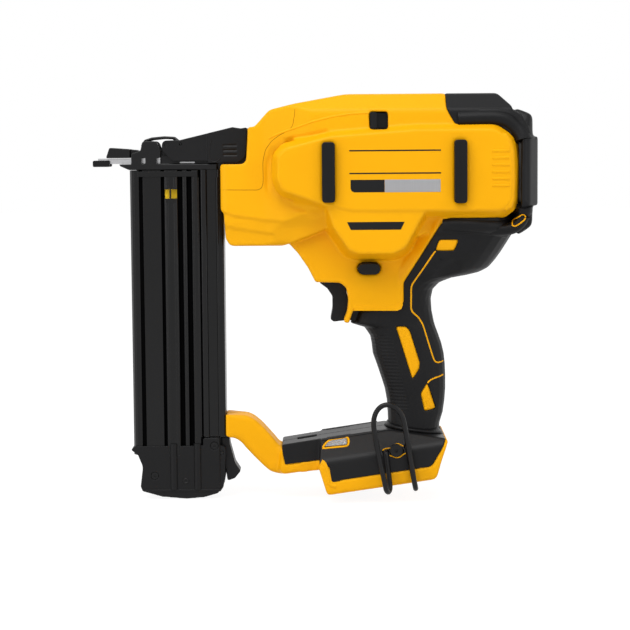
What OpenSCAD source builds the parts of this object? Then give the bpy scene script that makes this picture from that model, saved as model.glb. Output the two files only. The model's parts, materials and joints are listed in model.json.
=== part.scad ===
// Cordless brad nailer, bare tool, in millimetres.
// X runs from the nose (minus) to the rear cap (plus), Z is up, and Y = 0 is the plane where the
// two housing halves meet. The photographed side faces minus Y.

/* [Body] */
// Height of the drive axis above the magazine's base
drive_z = 227.5; // [220:0.5:235]
// Height of the flat top above the drive axis
body_rise = 43; // [41:0.5:46]
// Depth of the main body below the drive axis
body_drop = 38.5; // [37:0.5:41]
// Front face of the body, from the tool's middle
body_front = -63; // [-65:0.5:-61]
// Rear end of the two shells, from the tool's middle
body_rear = 133.5; // [131:0.5:136]
// Half width of the shells
body_half = 38; // [37:0.5:40]
// Half width of the shells at the nose end
front_half = 28; // [26:0.5:30]
// Half width across the raised side panels
panel_half = 44; // [42.5:0.5:46]
// Height that the rubber side pads stand off the panels
pad_stand = 4.5; // [3:0.5:6]
// Wall of the shells
wall = 2.6; // [2.2:0.1:3]
// Thickness of the black skins: grip, bumper and foot covers
skin = 2.4; // [2:0.1:2.8]

/* [Handle and foot] */
// Half width of the handle
handle_half = 17.5; // [16:0.5:19]
// Half width of the battery foot
foot_half = 35; // [33:0.5:37]
// Half width of the foot's flat top
foot_top_half = 21; // [19:0.5:23]
// Height of the foot from its sloping base to its top
foot_h = 36.3; // [34:0.1:38]
// Slope of the foot's base, in degrees
foot_tilt = 8.2; // [7:0.2:9]
// Half width of the arm that carries the magazine
arm_half = 13; // [12:0.5:14]
// Length of the battery rails
rail_len = 65; // [60:1:68]
// Half width between the battery rails
bay_half = 21; // [19:0.5:23]

/* [Magazine and nose] */
// Width of the magazine along X
mag_w = 63; // [61:0.5:66]
// Half thickness of the magazine
mag_half = 12; // [11.5:0.5:13]
// Depth that the magazine nests into the body's front
mag_nest = 2.5; // [2:0.5:4]
// Half thickness of the nail core in the magazine
core_half = 5.2; // [4.6:0.2:6]
// Width of the nail channel
nail_slot = 2; // [1.6:0.2:2.4]
// Distance that the pusher runs in the cover
pusher_travel = 110; // [90:5:115]
// Length of the nose ahead of the magazine
nose_len = 14.5; // [13:0.5:17]
// Height of the nail channel in the nose
chan_h = 4.2; // [4:0.2:5]
// Length of the no-mar pad
pad_len = 11.3; // [10:0.1:13]
// Distance that the contact trip is pushed in
trip_travel = 6; // [4:0.5:6]

/* [Drive] */
// Place of the flywheel's axle along X
flywheel_x = 58; // [55:0.5:62]
// Outer radius of the flywheel
flywheel_r = 22; // [20:0.5:23]
// Radius of the fixed axle
axle_r = 3; // [2.5:0.25:3.5]
// Radius of the pinch roller
roller_r = 7; // [6:0.5:7.5]
// Distance that the pinch carriage is pressed down
pinch_travel = 0.7; // [0.5:0.1:0.8]
// Distance that the solenoid plunger pulls in
plunger_travel = 3.5; // [2.5:0.5:4]
// Radius of the guide rods
guide_r = 2; // [1.75:0.25:2.5]

/* [Controls] */
// Half width of the trigger
trigger_half = 8; // [7:0.5:9]
// Length of the lock-off button's oval face
lock_l = 14.5; // [13:0.5:16]
// Height of the lock-off button's oval face
lock_h = 7.4; // [6.6:0.2:8]
// Distance that the lock-off button slides across
lock_travel = 3; // [2:0.5:4]
// Distance that the stall release slides
stall_travel = 5; // [4:0.5:6]
// Radius of the depth wheel
wheel_r = 9; // [8:0.5:10]

/* [Belt hook] */
// Radius of the hook's wire
wire_r = 1.7; // [1.5:0.1:2]
// Thread radius of the hook screw and of the insert on the other side
hook_screw_r = 2; // [1.75:0.25:2.5]

/* [Fits] */
// Gap of sliding pieces to their guides
slide_gap = 0.4; // [0.3:0.05:0.5]
// Radial gap of a pin in its bore
pin_gap = 0.06; // [0.04:0.01:0.1]
// Gap between skins and the shell that they cover
seat_gap = 0.05; // [0.04:0.01:0.1]

/* [Hidden] */
$fn = 48;

yellow = "#f5b21a";
black = "#26262a";
rubber = "#1b1b1d";
steel = "#b9bcc0";
alloy = "#9a9da2";
copper = "#b06a3a";
green = "#2f6b45";
eps = 0.01;
big = 400;

// Levels of the body
top_z = drive_z + body_rise;
panel_z = drive_z - body_drop;
notch_z = drive_z - 2.5;
notch_x = body_front + 18;
chin_z = drive_z - 56.5;
cap_front = body_rear + 1.6;
cap_end = cap_front + 12.4;

// Magazine and nose, from the body's front face forward
mag_rear = body_front + mag_nest;
mag_front = mag_rear - mag_w;
nose_tip = mag_front - nose_len;
trip_x = nose_tip + 1.8;
plate_z = drive_z - chan_h / 2;
plate_t = 3.8;
mag_top = plate_z - plate_t;
cheek_half = mag_half - 0.5;
cheek_in = 8.6;
catch_x = 11.2;
hinge = [mag_front + 47.5, drive_z + 4.6];
boss = [mag_front + 25.8, drive_z + 10.3];
bail_eye = [boss[0] + 9.2, boss[1] + 0.7];

// Foot: its base rises to the rear from this front corner
foot_x = 8.5;
foot_z = 5.5;
foot_len = 72;
function on_foot(u, v) = [
  foot_x + u * cos(foot_tilt) - v * sin(foot_tilt),
  foot_z + u * sin(foot_tilt) + v * cos(foot_tilt)
];
foot_top_z = on_foot(40, foot_h)[1];

// Drive
blade_tip = body_front + 1;
stroke = blade_tip - (trip_x - pad_len + trip_travel);
carrier_x = notch_x + 8 + 4 + stroke;
carrier_l = 52;
carrier_h = 6;
carrier_z = drive_z - carrier_h / 2;
flywheel_z = carrier_z - 0.3 - flywheel_r;
roller_z = carrier_z + carrier_h + 0.3 + pinch_travel + roller_r;
frame_front = notch_x + 4;
frame_rear = carrier_x + carrier_l + 6;
frame_t = 4;
rail_half = front_half - wall - 1;
rail_t = 3.4;
guide_half = rail_half - 7.4;
spring_r = guide_r + 1.6;
ear_l = 10;
blade_h = 2;
flywheel_c = [flywheel_x, flywheel_z];

// Rounded outlines: each corner is [x, y, radius]
function unit(v) = v / norm(v);
function fillet(a, b, c, n) =
  let (r = len(b) > 2 ? b[2] : 0, p = [b[0], b[1]])
  r == 0 ? [p] :
  let (
    u = unit([a[0], a[1]] - p),
    v = unit([c[0], c[1]] - p),
    half = acos(u * v) / 2,
    mid = p + unit(u + v) * r / sin(half),
    from = p + u * r / tan(half) - mid,
    to = p + v * r / tan(half) - mid,
    a0 = atan2(from[1], from[0]),
    turn = (atan2(to[1], to[0]) - a0 + 540) % 360 - 180
  )
  [for (k = [0:n]) mid + r * [cos(a0 + turn * k / n), sin(a0 + turn * k / n)]];
function outline(pts, n = 4) =
  let (m = len(pts))
  [for (i = [0:m - 1]) each fillet(pts[(i + m - 1) % m], pts[i], pts[(i + 1) % m], n)];
function box_outline(x0, y0, x1, y1, r) = outline([[x0, y0, r], [x1, y0, r], [x1, y1, r], [x0, y1, r]]);

// Extrusions of an outline in XZ, YZ and XY
module side_plate(pts, y0, y1, inset = 0) {
  translate([0, y1, 0]) rotate([90, 0, 0]) linear_extrude(y1 - y0) inset_outline(pts, inset);
}
module along_x(pts, x0, x1, inset = 0) {
  translate([x0, 0, 0]) rotate([90, 0, 90]) linear_extrude(x1 - x0) inset_outline(pts, inset);
}
module along_z(pts, z0, z1, inset = 0) {
  translate([0, 0, z0]) linear_extrude(z1 - z0) inset_outline(pts, inset);
}
module inset_outline(pts, inset) {
  if (inset == 0) polygon(pts);
  else offset(delta = -inset) polygon(pts);
}
module block(x0, x1, y0, y1, z0, z1) {
  translate([x0, y0, z0]) cube([x1 - x0, y1 - y0, z1 - z0]);
}
module y_pin(p, r, y0, y1) {
  translate([p[0], y0, p[1]]) rotate([-90, 0, 0]) cylinder(h = y1 - y0, r = r);
}
module x_pin(x0, x1, y, z, r) {
  translate([x0, y, z]) rotate([0, 90, 0]) cylinder(h = x1 - x0, r = r);
}
module both_sides() {
  children();
  mirror([0, 1, 0]) children();
}

// Round wire swept along a path, with bends at its corners
function arc_at(a, p, b, bend, n) =
  let (
    u = unit(a - p),
    v = unit(b - p),
    half = acos(u * v) / 2,
    mid = p + unit(u + v) * bend / sin(half),
    from = p + u * bend / tan(half) - mid
  )
  [for (k = [0:n]) let (t = (180 - 2 * half) * k / n) mid + from * cos(t) - u * bend * sin(t)];
function bent(pts, bend, n = 4) = concat(
  [pts[0]],
  [for (i = [1:len(pts) - 2]) each arc_at(pts[i - 1], pts[i], pts[i + 1], bend, n)],
  [pts[len(pts) - 1]]
);
function across(n, t) = unit(n - (n * t) * t);
module wire(pts, r, bend, sides = 10) {
  path = bent(pts, bend);
  last = len(path) - 1;
  along = [for (i = [0:last]) unit(path[min(i + 1, last)] - path[max(i - 1, 0)])];
  out = [
    for (i = 0, n = across([0.3, 0.9, 0.3], along[0]); i <= last; i = i + 1, n = across(n, along[min(i, last)])) n
  ];
  pts3 = [
    for (i = [0:last], k = [0:sides - 1])
      path[i] + r * (out[i] * cos(360 * k / sides) + cross(along[i], out[i]) * sin(360 * k / sides))
  ];
  walls = [
    for (i = [0:last - 1], k = [0:sides - 1])
      let (a = i * sides + k, b = i * sides + (k + 1) % sides)
      each [[a, a + sides, b + sides], [a, b + sides, b]]
  ];
  ends = [for (k = [1:sides - 2]) each [[0, k, k + 1], [last * sides, last * sides + k + 1, last * sides + k]]];
  polyhedron(points = pts3, faces = concat(walls, ends));
}

// Upper body of one shell, on the plus Y side
shoulder = 4.5;
body_side = outline([
  [body_front + 1.2, notch_z, 1], [notch_x + 0.4, notch_z, 4], [notch_x + 1.8, drive_z + 22, 1.5],
  [notch_x + 6, drive_z + 22, 2], [notch_x + 16, drive_z + 33, 8], [notch_x + 33, top_z - 6, 30],
  [notch_x + 66, top_z, 40], [body_rear - 13, top_z, 5], [body_rear - shoulder, top_z - 8.5, 3],
  [body_rear, drive_z + 22, 5], [body_rear + 1.5, drive_z - 4, 60], [body_rear, panel_z + 7, 4],
  [body_rear - 8, panel_z, 4], [20, panel_z - 2], [body_front + 47, chin_z + 1.6, 3],
  [body_front + 42, chin_z, 2], [body_front + 7, chin_z, 4], [body_front + 4.2, chin_z + 5, 4],
  [body_front + 3.2, drive_z - 34.8, 0.8], [body_front + 1.2, drive_z - 32.6, 0.8]
]);
body_section = outline([
  [-body_half, top_z], [body_half - 13.5, top_z, 5], [body_half - 1.5, top_z - 10.5, 5], [body_half, drive_z + 12],
  [body_half, panel_z + 8, 6], [body_half - 9, panel_z - 5, 6], [front_half - 1, chin_z, 4], [-body_half, chin_z]
]);
body_plan = outline([
  [body_front, -body_half], [body_front, front_half - 3, 6], [body_front + 30, front_half, 20],
  [body_front + 62, body_half - 1, 20], [body_front + 76, body_half, 10], [body_rear - 4, body_half, 6],
  [body_rear + 1, body_half - 8, 4], [body_rear + 1, -body_half]
]);
module body_form(inset = 0) {
  intersection() {
    side_plate(body_side, inset == 0 ? 0 : -1, body_half + 1, inset);
    along_x(body_section, body_front - 1, body_rear + 2, inset);
    along_z(body_plan, chin_z - 1, top_z + 1, inset);
  }
}

// Raised side panel and the tongue below it, with sloping borders
panel_border = 4.5;
panel_pts = outline([
  [-23.4, drive_z - 13, 6], [-20.5, drive_z - 19.5, 5], [7, drive_z - 29, 20], [26, panel_z + 5.5, 10],
  [body_rear - 11, panel_z + 5, 8], [body_rear - 5, panel_z + 11, 8], [body_rear - 4.5, drive_z - 4, 40],
  [body_rear - 6, drive_z + 12, 8], [body_rear - 16, drive_z + 19, 10], [66, drive_z + 19, 30],
  [10, drive_z + 15, 30], [-18.5, drive_z + 7.5, 5], [-23.4, drive_z + 2.5, 5]
]);
tongue_border = 6.5;
tongue_pts = outline([
  [8.5, panel_z + 8], [12.3, panel_z - 5, 6], [23, panel_z - 20.5, 6], [29, panel_z - 22.6, 8],
  [52, panel_z - 22.6, 8], [59.5, panel_z - 18.5, 8], [68, panel_z - 1, 6], [74, panel_z + 8]
]);
module raised(pts, base_y, face_y, border, grow = 0) {
  hull() {
    side_plate(pts, base_y, base_y + 0.5, -border - grow);
    side_plate(pts, face_y - 0.5, face_y + grow, -grow);
  }
}
module side_panel(grow = 0) {
  raised(panel_pts, body_half - 3, panel_half, panel_border, grow);
}
// Lower front of the body, set back in two steps below moulded lines: [depth, outline]
chin_steps = [
  [1.2, [
    [body_front - 2, chin_z - 2], [body_front - 2, panel_z + 6.5], [body_front + 9, panel_z + 2.5],
    [body_front + 30, panel_z - 0.6], [6, panel_z - 3.4], [12, chin_z - 2]
  ]],
  [2.2, [
    [body_front - 2, chin_z - 2], [body_front - 2, panel_z - 4], [body_front + 42, panel_z - 10.9],
    [body_front + 48, panel_z - 15.5], [body_front + 50, chin_z - 2]
  ]]
];
module chin_step(more = 0) {
  for (c = chin_steps) difference() {
    side_plate(c[1], -1, big);
    along_z(body_plan, 0, big, c[0] + more);
  }
}
module tongue(grow = 0) {
  raised(tongue_pts, handle_half, panel_half - 1, tongue_border, grow);
}

// Trigger cheeks between the tongue and the handle
cheek_y = handle_half + 4;
trig_top = panel_z - 43;
cheek_pts = outline([
  [-20, panel_z - 11], [-17.6, drive_z - 54.5, 2], [-11.1, panel_z - 23], [-4.3, panel_z - 33, 10],
  [0.5, trig_top + 0.5, 1], [17, trig_top, 3], [21, trig_top - 3.5, 2], [22.3, trig_top - 12, 4],
  [21.5, trig_top - 19, 3], [18.8, trig_top - 26, 1], [22.4, trig_top - 27.5, 1],
  [25.5, trig_top - 18, 2], [56, trig_top - 18, 3], [59, trig_top - 13, 2], [59, trig_top, 2],
  [82.6, panel_z - 4.5, 4], [88, panel_z + 6], [-10, panel_z + 6]
]);

// Knob and handle: half rings from the body down to the foot, as
// [height, front, rear, half width beyond the handle's]
grip_rings = [
  [panel_z + 4, 70, body_rear + 1.4, 20.5], [panel_z - 5, 66, body_rear + 1.2, 20],
  [panel_z - 9.5, 64, body_rear, 19.6], [panel_z - 11.5, 63, body_rear - 0.8, 17.8],
  [panel_z - 23, 56, body_rear - 8, 15.5],
  [panel_z - 29, 52, body_rear - 12, 13.5], [panel_z - 34, 49, body_rear - 16.5, 11.5],
  [panel_z - 37, 47, body_rear - 22, 9.5], [panel_z - 39, 46, body_rear - 30.5, 8],
  [panel_z - 41, 45, 92, 6.5], [trig_top - 1, 44, 84, 5], [trig_top - 5.5, 42, 79.6, 3.7],
  [trig_top - 12, 36, 78.3, 2.7], [trig_top - 20, 25.5, 78.8, 1.8], [trig_top - 27.5, 21.5, 80.3, 1],
  [trig_top - 31, 33, 81.3, 0.7], [trig_top - 37, 37.1, 83.5, 0.5], [trig_top - 42.5, 38.1, 85.4, 0.3],
  [trig_top - 49, 38.8, 86.9, 0.1], [trig_top - 56, 41.3, 87.7, 0], [trig_top - 64, 44, 88, 0],
  [trig_top - 73, 46.8, 88, 0], [foot_top_z + 18, 48.2, 87.4, 0.1], [foot_top_z + 10, 48.7, 86.2, 0.5],
  [foot_top_z + 3, 49, 84, 1], [foot_top_z - 6, 49.2, 83.2, 1.5]
];
ring_n = 12;
squareness = 2.6;
function bulge(v) = sign(v) * pow(abs(v), 2 / squareness);
function half_ring(g, inset, over, lift) =
  let (mid = (g[1] + g[2]) / 2, a = (g[2] - g[1]) / 2 - inset, b = handle_half + g[3] - inset, z = g[0] + lift)
  concat(
    over == 0 ? [] : [[mid + a, -over, z], [mid - a, -over, z]],
    [for (k = [0:ring_n]) [mid - a * bulge(cos(180 * k / ring_n)), b * bulge(sin(180 * k / ring_n)), z]]
  );
module grip_form(inset = 0, over = 0) {
  n = len(grip_rings);
  m = ring_n + (over == 0 ? 1 : 3);
  pts = [
    for (i = [0:n - 1])
      each half_ring(grip_rings[i], inset, over, i == 0 ? over : i == n - 1 ? -over : 0)
  ];
  walls = [
    for (i = [0:n - 2], k = [0:m - 1])
      let (a = i * m + k, b = i * m + (k + 1) % m)
      each [[a, b + m, b], [a, a + m, b + m]]
  ];
  cap_top = [for (k = [1:m - 2]) [0, k, k + 1]];
  cap_low = [for (k = [1:m - 2]) [(n - 1) * m, (n - 1) * m + k + 1, (n - 1) * m + k]];
  polyhedron(points = pts, faces = concat(walls, cap_top, cap_low));
}

// Region of the black grip, and the yellow places left open in it
grip_region = outline([
  [cap_front, panel_z + 7], [body_rear - 1, panel_z + 4, 3], [body_rear - 8, panel_z, 4],
  [88, panel_z, 4], [82.6, panel_z - 4.5, 3], [59, trig_top, 2], [59, trig_top - 13, 2],
  [56, trig_top - 18, 2], [25.5, trig_top - 18, 2], [22.4, trig_top - 27.5], [15, trig_top - 30],
  [15, foot_top_z - 10], [cap_front, foot_top_z - 10]
]);
grip_windows = [
  outline([
    [82, panel_z - 14.2, 0.6], [94.6, panel_z - 14.2, 0.6], [91.9, panel_z - 21.6, 0.6],
    [79.1, panel_z - 21.6, 0.6]
  ]),
  outline([
    [53.8, trig_top - 29.6, 0.6], [60.4, trig_top - 29.6, 1], [63.2, trig_top - 32.5, 2], [69.8, trig_top - 54, 2],
    [69.6, trig_top - 58, 1], [64.9, trig_top - 65.6, 0.4]
  ]),
  outline([
    [74.8, foot_top_z + 31.4, 0.4], [70.4, foot_top_z + 24, 1], [72.8, foot_top_z + 12, 0.6],
    [80.6, foot_top_z + 13.7, 0.6]
  ])
];
module grip_openings(inset = 0) {
  for (w = grip_windows) side_plate(w, 1, body_half + 10, inset);
}

// Battery foot: a broad rear part, a narrow front part and the arm
foot_section = outline([
  [-foot_half, 0], [foot_half, 0, 2], [foot_half, foot_h - 14, 8], [foot_top_half, foot_h, 4], [-foot_half, foot_h]
]);
foot_main = outline([
  [foot_x - 1.2, foot_z, 2.5], concat(on_foot(foot_len, 0), [5]), concat(on_foot(foot_len + 5, 11.3), [6]),
  concat(on_foot(foot_len + 11.6, foot_h - 12), [1.5]), concat(on_foot(foot_len + 9.5, foot_h - 10.2), [2]),
  on_foot(40, foot_h + 1), on_foot(0, foot_h + 1), concat(on_foot(-4, 18.3), [3])
]);
neck_half = 18;
foot_neck = outline([
  [-25, 16.5, 3], [5, foot_z + 14.8], [12, foot_z + 15.3], on_foot(6, foot_h), [-23, foot_z + 31.8, 2]
]);
arm_pts = outline([
  [mag_rear, 57], [-45, 57, 12], [-37, 50.8, 12], [-22.8, 34.4], [-12, 28], [-12, 18], [-24, 16, 6],
  [-31, 17.6, 6], [-44.5, 31, 8], [-52, 39.5, 8], [mag_rear, 42.5]
]);
module on_foot_frame() {
  translate([foot_x, 0, foot_z]) rotate([0, -foot_tilt, 0]) children();
}
module foot_form(inset = 0, over = 0) {
  union() {
    intersection() {
      side_plate(foot_main, -over, foot_half + 1, inset);
      on_foot_frame() along_x(foot_section, -40, foot_len + 40, inset);
    }
    side_plate(foot_neck, -over, neck_half - inset, inset);
  }
}
foot_region = outline([
  [-22.8, big], [-22.8, foot_z + 28.3], [-20.9, foot_z + 18.3, 1], [2.6, foot_z + 21.3, 3],
  concat(on_foot(3.6, 18.3), [2]), concat(on_foot(6, 9.3), [1.5]), concat(on_foot(foot_len - 2, 9.3), [5]),
  concat(on_foot(foot_len + 7.6, foot_h - 15), [4]), on_foot(foot_len + 10, foot_h - 10.6), [86.5, big]
]);

// Places of the controls
trigger_axis = [14, trig_top + 8];
lock_c = [36, panel_z - 33.5];
stall_z0 = top_z - 23.5;
stall_z1 = top_z - 12;
stall_x0 = 36.5;
stall_x1 = 48.5;
wheel_c = [body_front + 34, chin_z + wheel_r + 0.4];
wheel_out = 12;
wheel_rib = 3;
wheel_pin_r = 2;
lens_c = on_foot(9.5, foot_h - 2.5);
lens_y = foot_top_half - 3;
screw_c = on_foot(48.5, foot_h - 13);
hook_y = foot_half + 9.5;

// Screw places of the two halves, on the right
screw_places = [
  [body_front + 12, chin_z + 12], [body_front + 9, drive_z - 13], [flywheel_x + 4, drive_z + 35],
  [body_rear - 10, panel_z + 12], [2, panel_z - 22], [62, trig_top - 34], [73, foot_top_z + 16],
  [-34, 38], on_foot(-8, 24)
];
screw_r = 2;
head_r = 3.3;
head_y = 8;

// Pocket round the flywheel
drum_r = flywheel_r + 3;
drum_half = rail_half + 4;

// One shell on the plus Y side, before the pieces that differ between left and right
module shell() {
  difference() {
    union() {
      difference() {
        body_form();
        bumper_cut(seat_gap);
        chin_step();
      }
      intersection() {
        body_form(skin + seat_gap);
        side_plate(bumper_region, 0, big);
      }
      side_panel();
      tongue();
      side_plate(cheek_pts, 0, cheek_y);
      y_pin(flywheel_c, drum_r + wall, 0, drum_half + wall);
      difference() {
        grip_form();
        side_plate(grip_region, -1, big, -seat_gap);
      }
      grip_form(skin + seat_gap);
      intersection() {
        grip_form(0.3);
        grip_openings(0.15);
      }
      difference() {
        foot_form();
        side_plate(foot_region, -1, big, -seat_gap);
      }
      foot_form(skin + seat_gap);
      side_plate(arm_pts, 0, arm_half);
    }
    difference() {
      body_form(wall);
      screw_bosses();
      wheel_ribs();
      difference() {
        bumper_cut(wall);
        body_form(skin + wall);
      }
      chin_step(wall);
    }
    y_pin(flywheel_c, drum_r, -1, drum_half);
    nose_space();
    trigger_space();
    battery_bay();
    depth_space();
    x_pin(wheel_c[0] - wheel_out, wheel_c[0] + wheel_out, 0, wheel_c[1], wheel_pin_r);
  }
}
module screw_bosses() {
  for (c = screw_places) y_pin(c, head_r + 1.7, -2, big);
}
module wheel_ribs() {
  for (x = [-wheel_out, wheel_out - wheel_rib])
    block(wheel_c[0] + x, wheel_c[0] + x + wheel_rib, -2, wheel_r, 0, wheel_c[1] + wheel_pin_r + 3);
}
module nose_space() {
  block(body_front - 1, mag_rear + slide_gap, -1, mag_half + slide_gap, chin_z - 1, notch_z + 1);
  block(body_front - 1, frame_front + 1, -1, cheek_in + slide_gap, mag_top - slide_gap, drive_z + 6);
}
trigger_gap = trigger_half + slide_gap;
switch_half = 9;
switch_top = lock_c[1] - lock_h / 2 - 1.5;
module trigger_space() {
  side_plate(outline([
    [-8, trig_top - 30], [34, trig_top - 27.5], [34, trig_top + 14, 3], [2, trig_top + 16, 3],
    [-1, trig_top + 3]
  ]), -1, trigger_gap);
  block(33, 56, -1, switch_half + slide_gap, trig_top - 22, switch_top + slide_gap);
  y_pin(trigger_axis, 2 + pin_gap, -1, cheek_y - 4);
  lock_oval(lock_c, slide_gap, -1, big);
}
module lock_oval(c, grow, y0, y1) {
  r = lock_h / 2 + grow;
  d = (lock_l - lock_h) / 2;
  y_pin([c[0] - d, c[1]], r, y0, y1);
  y_pin([c[0] + d, c[1]], r, y0, y1);
  block(c[0] - d, c[0] + d, y0, y1, c[1] - r, c[1] + r);
}
bay_top = 9;
board_z = bay_top + 3;
module battery_bay() {
  on_foot_frame() {
    block(foot_len - rail_len, foot_len + 30, -1, bay_half, -20, bay_top);
    block(foot_len - rail_len, foot_len + 30, -1, bay_half + 4, 3, bay_top);
    block(8, foot_len - 8, -1, foot_half - skin - wall - 1, board_z, foot_h - skin - wall - 4);
  }
}
module depth_space() {
  x_pin(wheel_c[0] - 3.4, wheel_c[0] + 3.4, 0, wheel_c[1], wheel_r + 0.6);
  block(wheel_c[0] - 3.4, wheel_c[0] + 3.4, -1, wheel_r - 1, chin_z - 1, wheel_c[1]);
}
module bumper_cut(grow) {
  side_plate(bumper_region, -1, big, -grow);
}

// Housing halves
module left_housing() {
  color(yellow) mirror([0, 1, 0]) difference() {
    shell();
    block(stall_x0, stall_x1, body_half - 9, big, stall_z0, stall_z1);
    light_pocket();
    pad_seats();
    hook_seat();
  }
}
module right_housing() {
  color(yellow) difference() {
    shell();
    light_pocket();
    pad_seats();
    screw_holes();
    y_pin(screw_c, hook_screw_r + 1.5, foot_half - 12, big);
  }
}
module light_pocket() {
  side_plate(lens_pts, lens_y, big, -slide_gap / 2);
}
module hook_seat() {
  for (c = hook_feet) y_pin(c, wire_r + slide_gap / 2, foot_half - 9, big);
  y_pin(screw_c, hook_screw_r + pin_gap, foot_half - 12, big);
}
module screw_holes() {
  for (c = screw_places) {
    y_pin(c, screw_r + seat_gap, -1, head_y);
    y_pin(c, head_r + seat_gap, head_y - seat_gap, big);
  }
}

// Black skins over the shells
bumper_region = outline([
  [86.5, big], [86.5, top_z - 10, 6], [94, top_z - 24, 4], [body_rear - 12.5, top_z - 24, 6],
  [body_rear - 1.2, top_z - 33, 2], [cap_front, top_z - 33], [cap_front, big]
]);
module top_bumper() {
  color(black) both_sides() difference() {
    intersection() {
      body_form();
      side_plate(bumper_region, 0, big);
    }
    body_form(skin);
    side_panel(seat_gap);
  }
}
module grip_skin() {
  difference() {
    intersection() {
      grip_form();
      side_plate(grip_region, 0, big);
    }
    grip_form(skin, 1);
    grip_openings();
    side_plate(cheek_pts, -1, cheek_y + seat_gap, -seat_gap);
    foot_form(-seat_gap, 1);
    body_form(-seat_gap);
    tongue(seat_gap);
    side_panel(seat_gap);
    trigger_space();
  }
}
module left_grip() {
  color(rubber) mirror([0, 1, 0]) grip_skin();
}
module right_grip() {
  color(rubber) difference() {
    grip_skin();
    screw_holes();
  }
}
module foot_skin() {
  difference() {
    intersection() {
      foot_form();
      side_plate(foot_region, 0, big);
    }
    foot_form(skin, 1);
    grip_form(-seat_gap, 1);
    side_plate(arm_pts, -1, arm_half + seat_gap, -seat_gap);
    light_pocket();
    window_cut(slide_gap / 4);
  }
}
module left_foot_cover() {
  color(black) mirror([0, 1, 0]) difference() {
    foot_skin();
    hook_seat();
    y_pin(screw_c, 4.5, foot_half - 3, big);
  }
}
module right_foot_cover() {
  color(black) difference() {
    foot_skin();
    y_pin(screw_c, hook_screw_r + 1.5, foot_half - 12, big);
    screw_holes();
  }
}

// Rear cap against the ends of both shells
cap_lip = 4.1;
plate_zone = [drive_z - 31, drive_z + 14.4];
cap_side = outline([
  [cap_front - shoulder, top_z - 9.4, 1], [cap_end - cap_lip, top_z - 14.4, 4],
  [cap_end - cap_lip, plate_zone[1], 0.4], [cap_end, plate_zone[1], 1.5], [cap_end, plate_zone[0], 1.5],
  [cap_end - cap_lip, plate_zone[0], 0.4], [cap_end - cap_lip, drive_z - 44, 5], [cap_front, drive_z - 50, 2],
  [cap_front - 2, drive_z - 50.6, 0.4], [cap_front, drive_z - 43], [cap_front, drive_z + 22]
]);
function cap_plan(half) = outline([
  [cap_front - 6, half + 2], [cap_front + 5, half, 6], [cap_end, half - 13, 9],
  [cap_end, 13 - half, 9], [cap_front + 5, -half, 6], [cap_front - 6, -half - 2]
]);
cap_section = outline([
  [body_half - 6, top_z - 9, 6], [body_half + 2.4, top_z - 24, 10], [body_half + 2.4, drive_z - 26, 8],
  [body_half - 9, drive_z - 52, 12], [9 - body_half, drive_z - 52, 12], [-body_half - 2.4, drive_z - 26, 8],
  [-body_half - 2.4, top_z - 24, 10], [6 - body_half, top_z - 9, 6]
]);
module rear_cap() {
  color(black) difference() {
    intersection() {
      side_plate(cap_side, -big, big);
      union() {
        along_z(cap_plan(body_half - 0.4), 0, big);
        along_z(cap_plan(body_half + 1), plate_zone[0], plate_zone[1]);
      }
      along_x(cap_section, 0, big);
    }
    block(cap_front - 1, cap_front + 5, -body_half + 5, body_half - 5, panel_z + 3, top_z - 18);
  }
}

// Rubber pads let into the side panels
pad_in = 1.5;
pad_boxes = [[5.2, drive_z - 27.5, 13.6, drive_z + 11.5], [91, drive_z - 28.5, 99.2, drive_z + 12.5]];
module pad_seats() {
  for (b = pad_boxes)
    side_plate(box_outline(b[0], b[1], b[2], b[3], 2), panel_half - pad_in, big, -seat_gap);
}
module side_pads() {
  color(rubber) both_sides() for (b = pad_boxes)
    side_plate(box_outline(b[0], b[1], b[2], b[3], 2), panel_half - pad_in, panel_half + pad_stand);
}

// Work lights and the indicator window in the foot
lens_pts = outline([
  [lens_c[0] - 8.5, lens_c[1] - 3.5, 1], [lens_c[0] + 7.5, lens_c[1] - 2, 1],
  [lens_c[0] + 8, lens_c[1] + 5.5, 1], [lens_c[0] - 3, lens_c[1] + 4.5, 2]
]);
module light_lenses() {
  color("#d8dde2") both_sides() intersection() {
    side_plate(lens_pts, lens_y + 2, foot_half, slide_gap / 2);
    foot_form(0.4);
  }
}
module light_board() {
  color(green) both_sides()
    side_plate(lens_pts, lens_y, lens_y + 1.6, 1);
}
window_x = [-12.5, 0.5];
module window_cut(grow) {
  block(window_x[0] - grow, window_x[1] + grow, -1, 4 + grow, foot_z + 21.3, big);
}
module indicator_window() {
  color("#3a3a3f") intersection() {
    both_sides() foot_form(0.3);
    block(window_x[0], window_x[1], -4, 4, foot_z + 21.3, big);
    both_sides() difference() {
      foot_form();
      foot_form(skin, 1);
    }
  }
}

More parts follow.
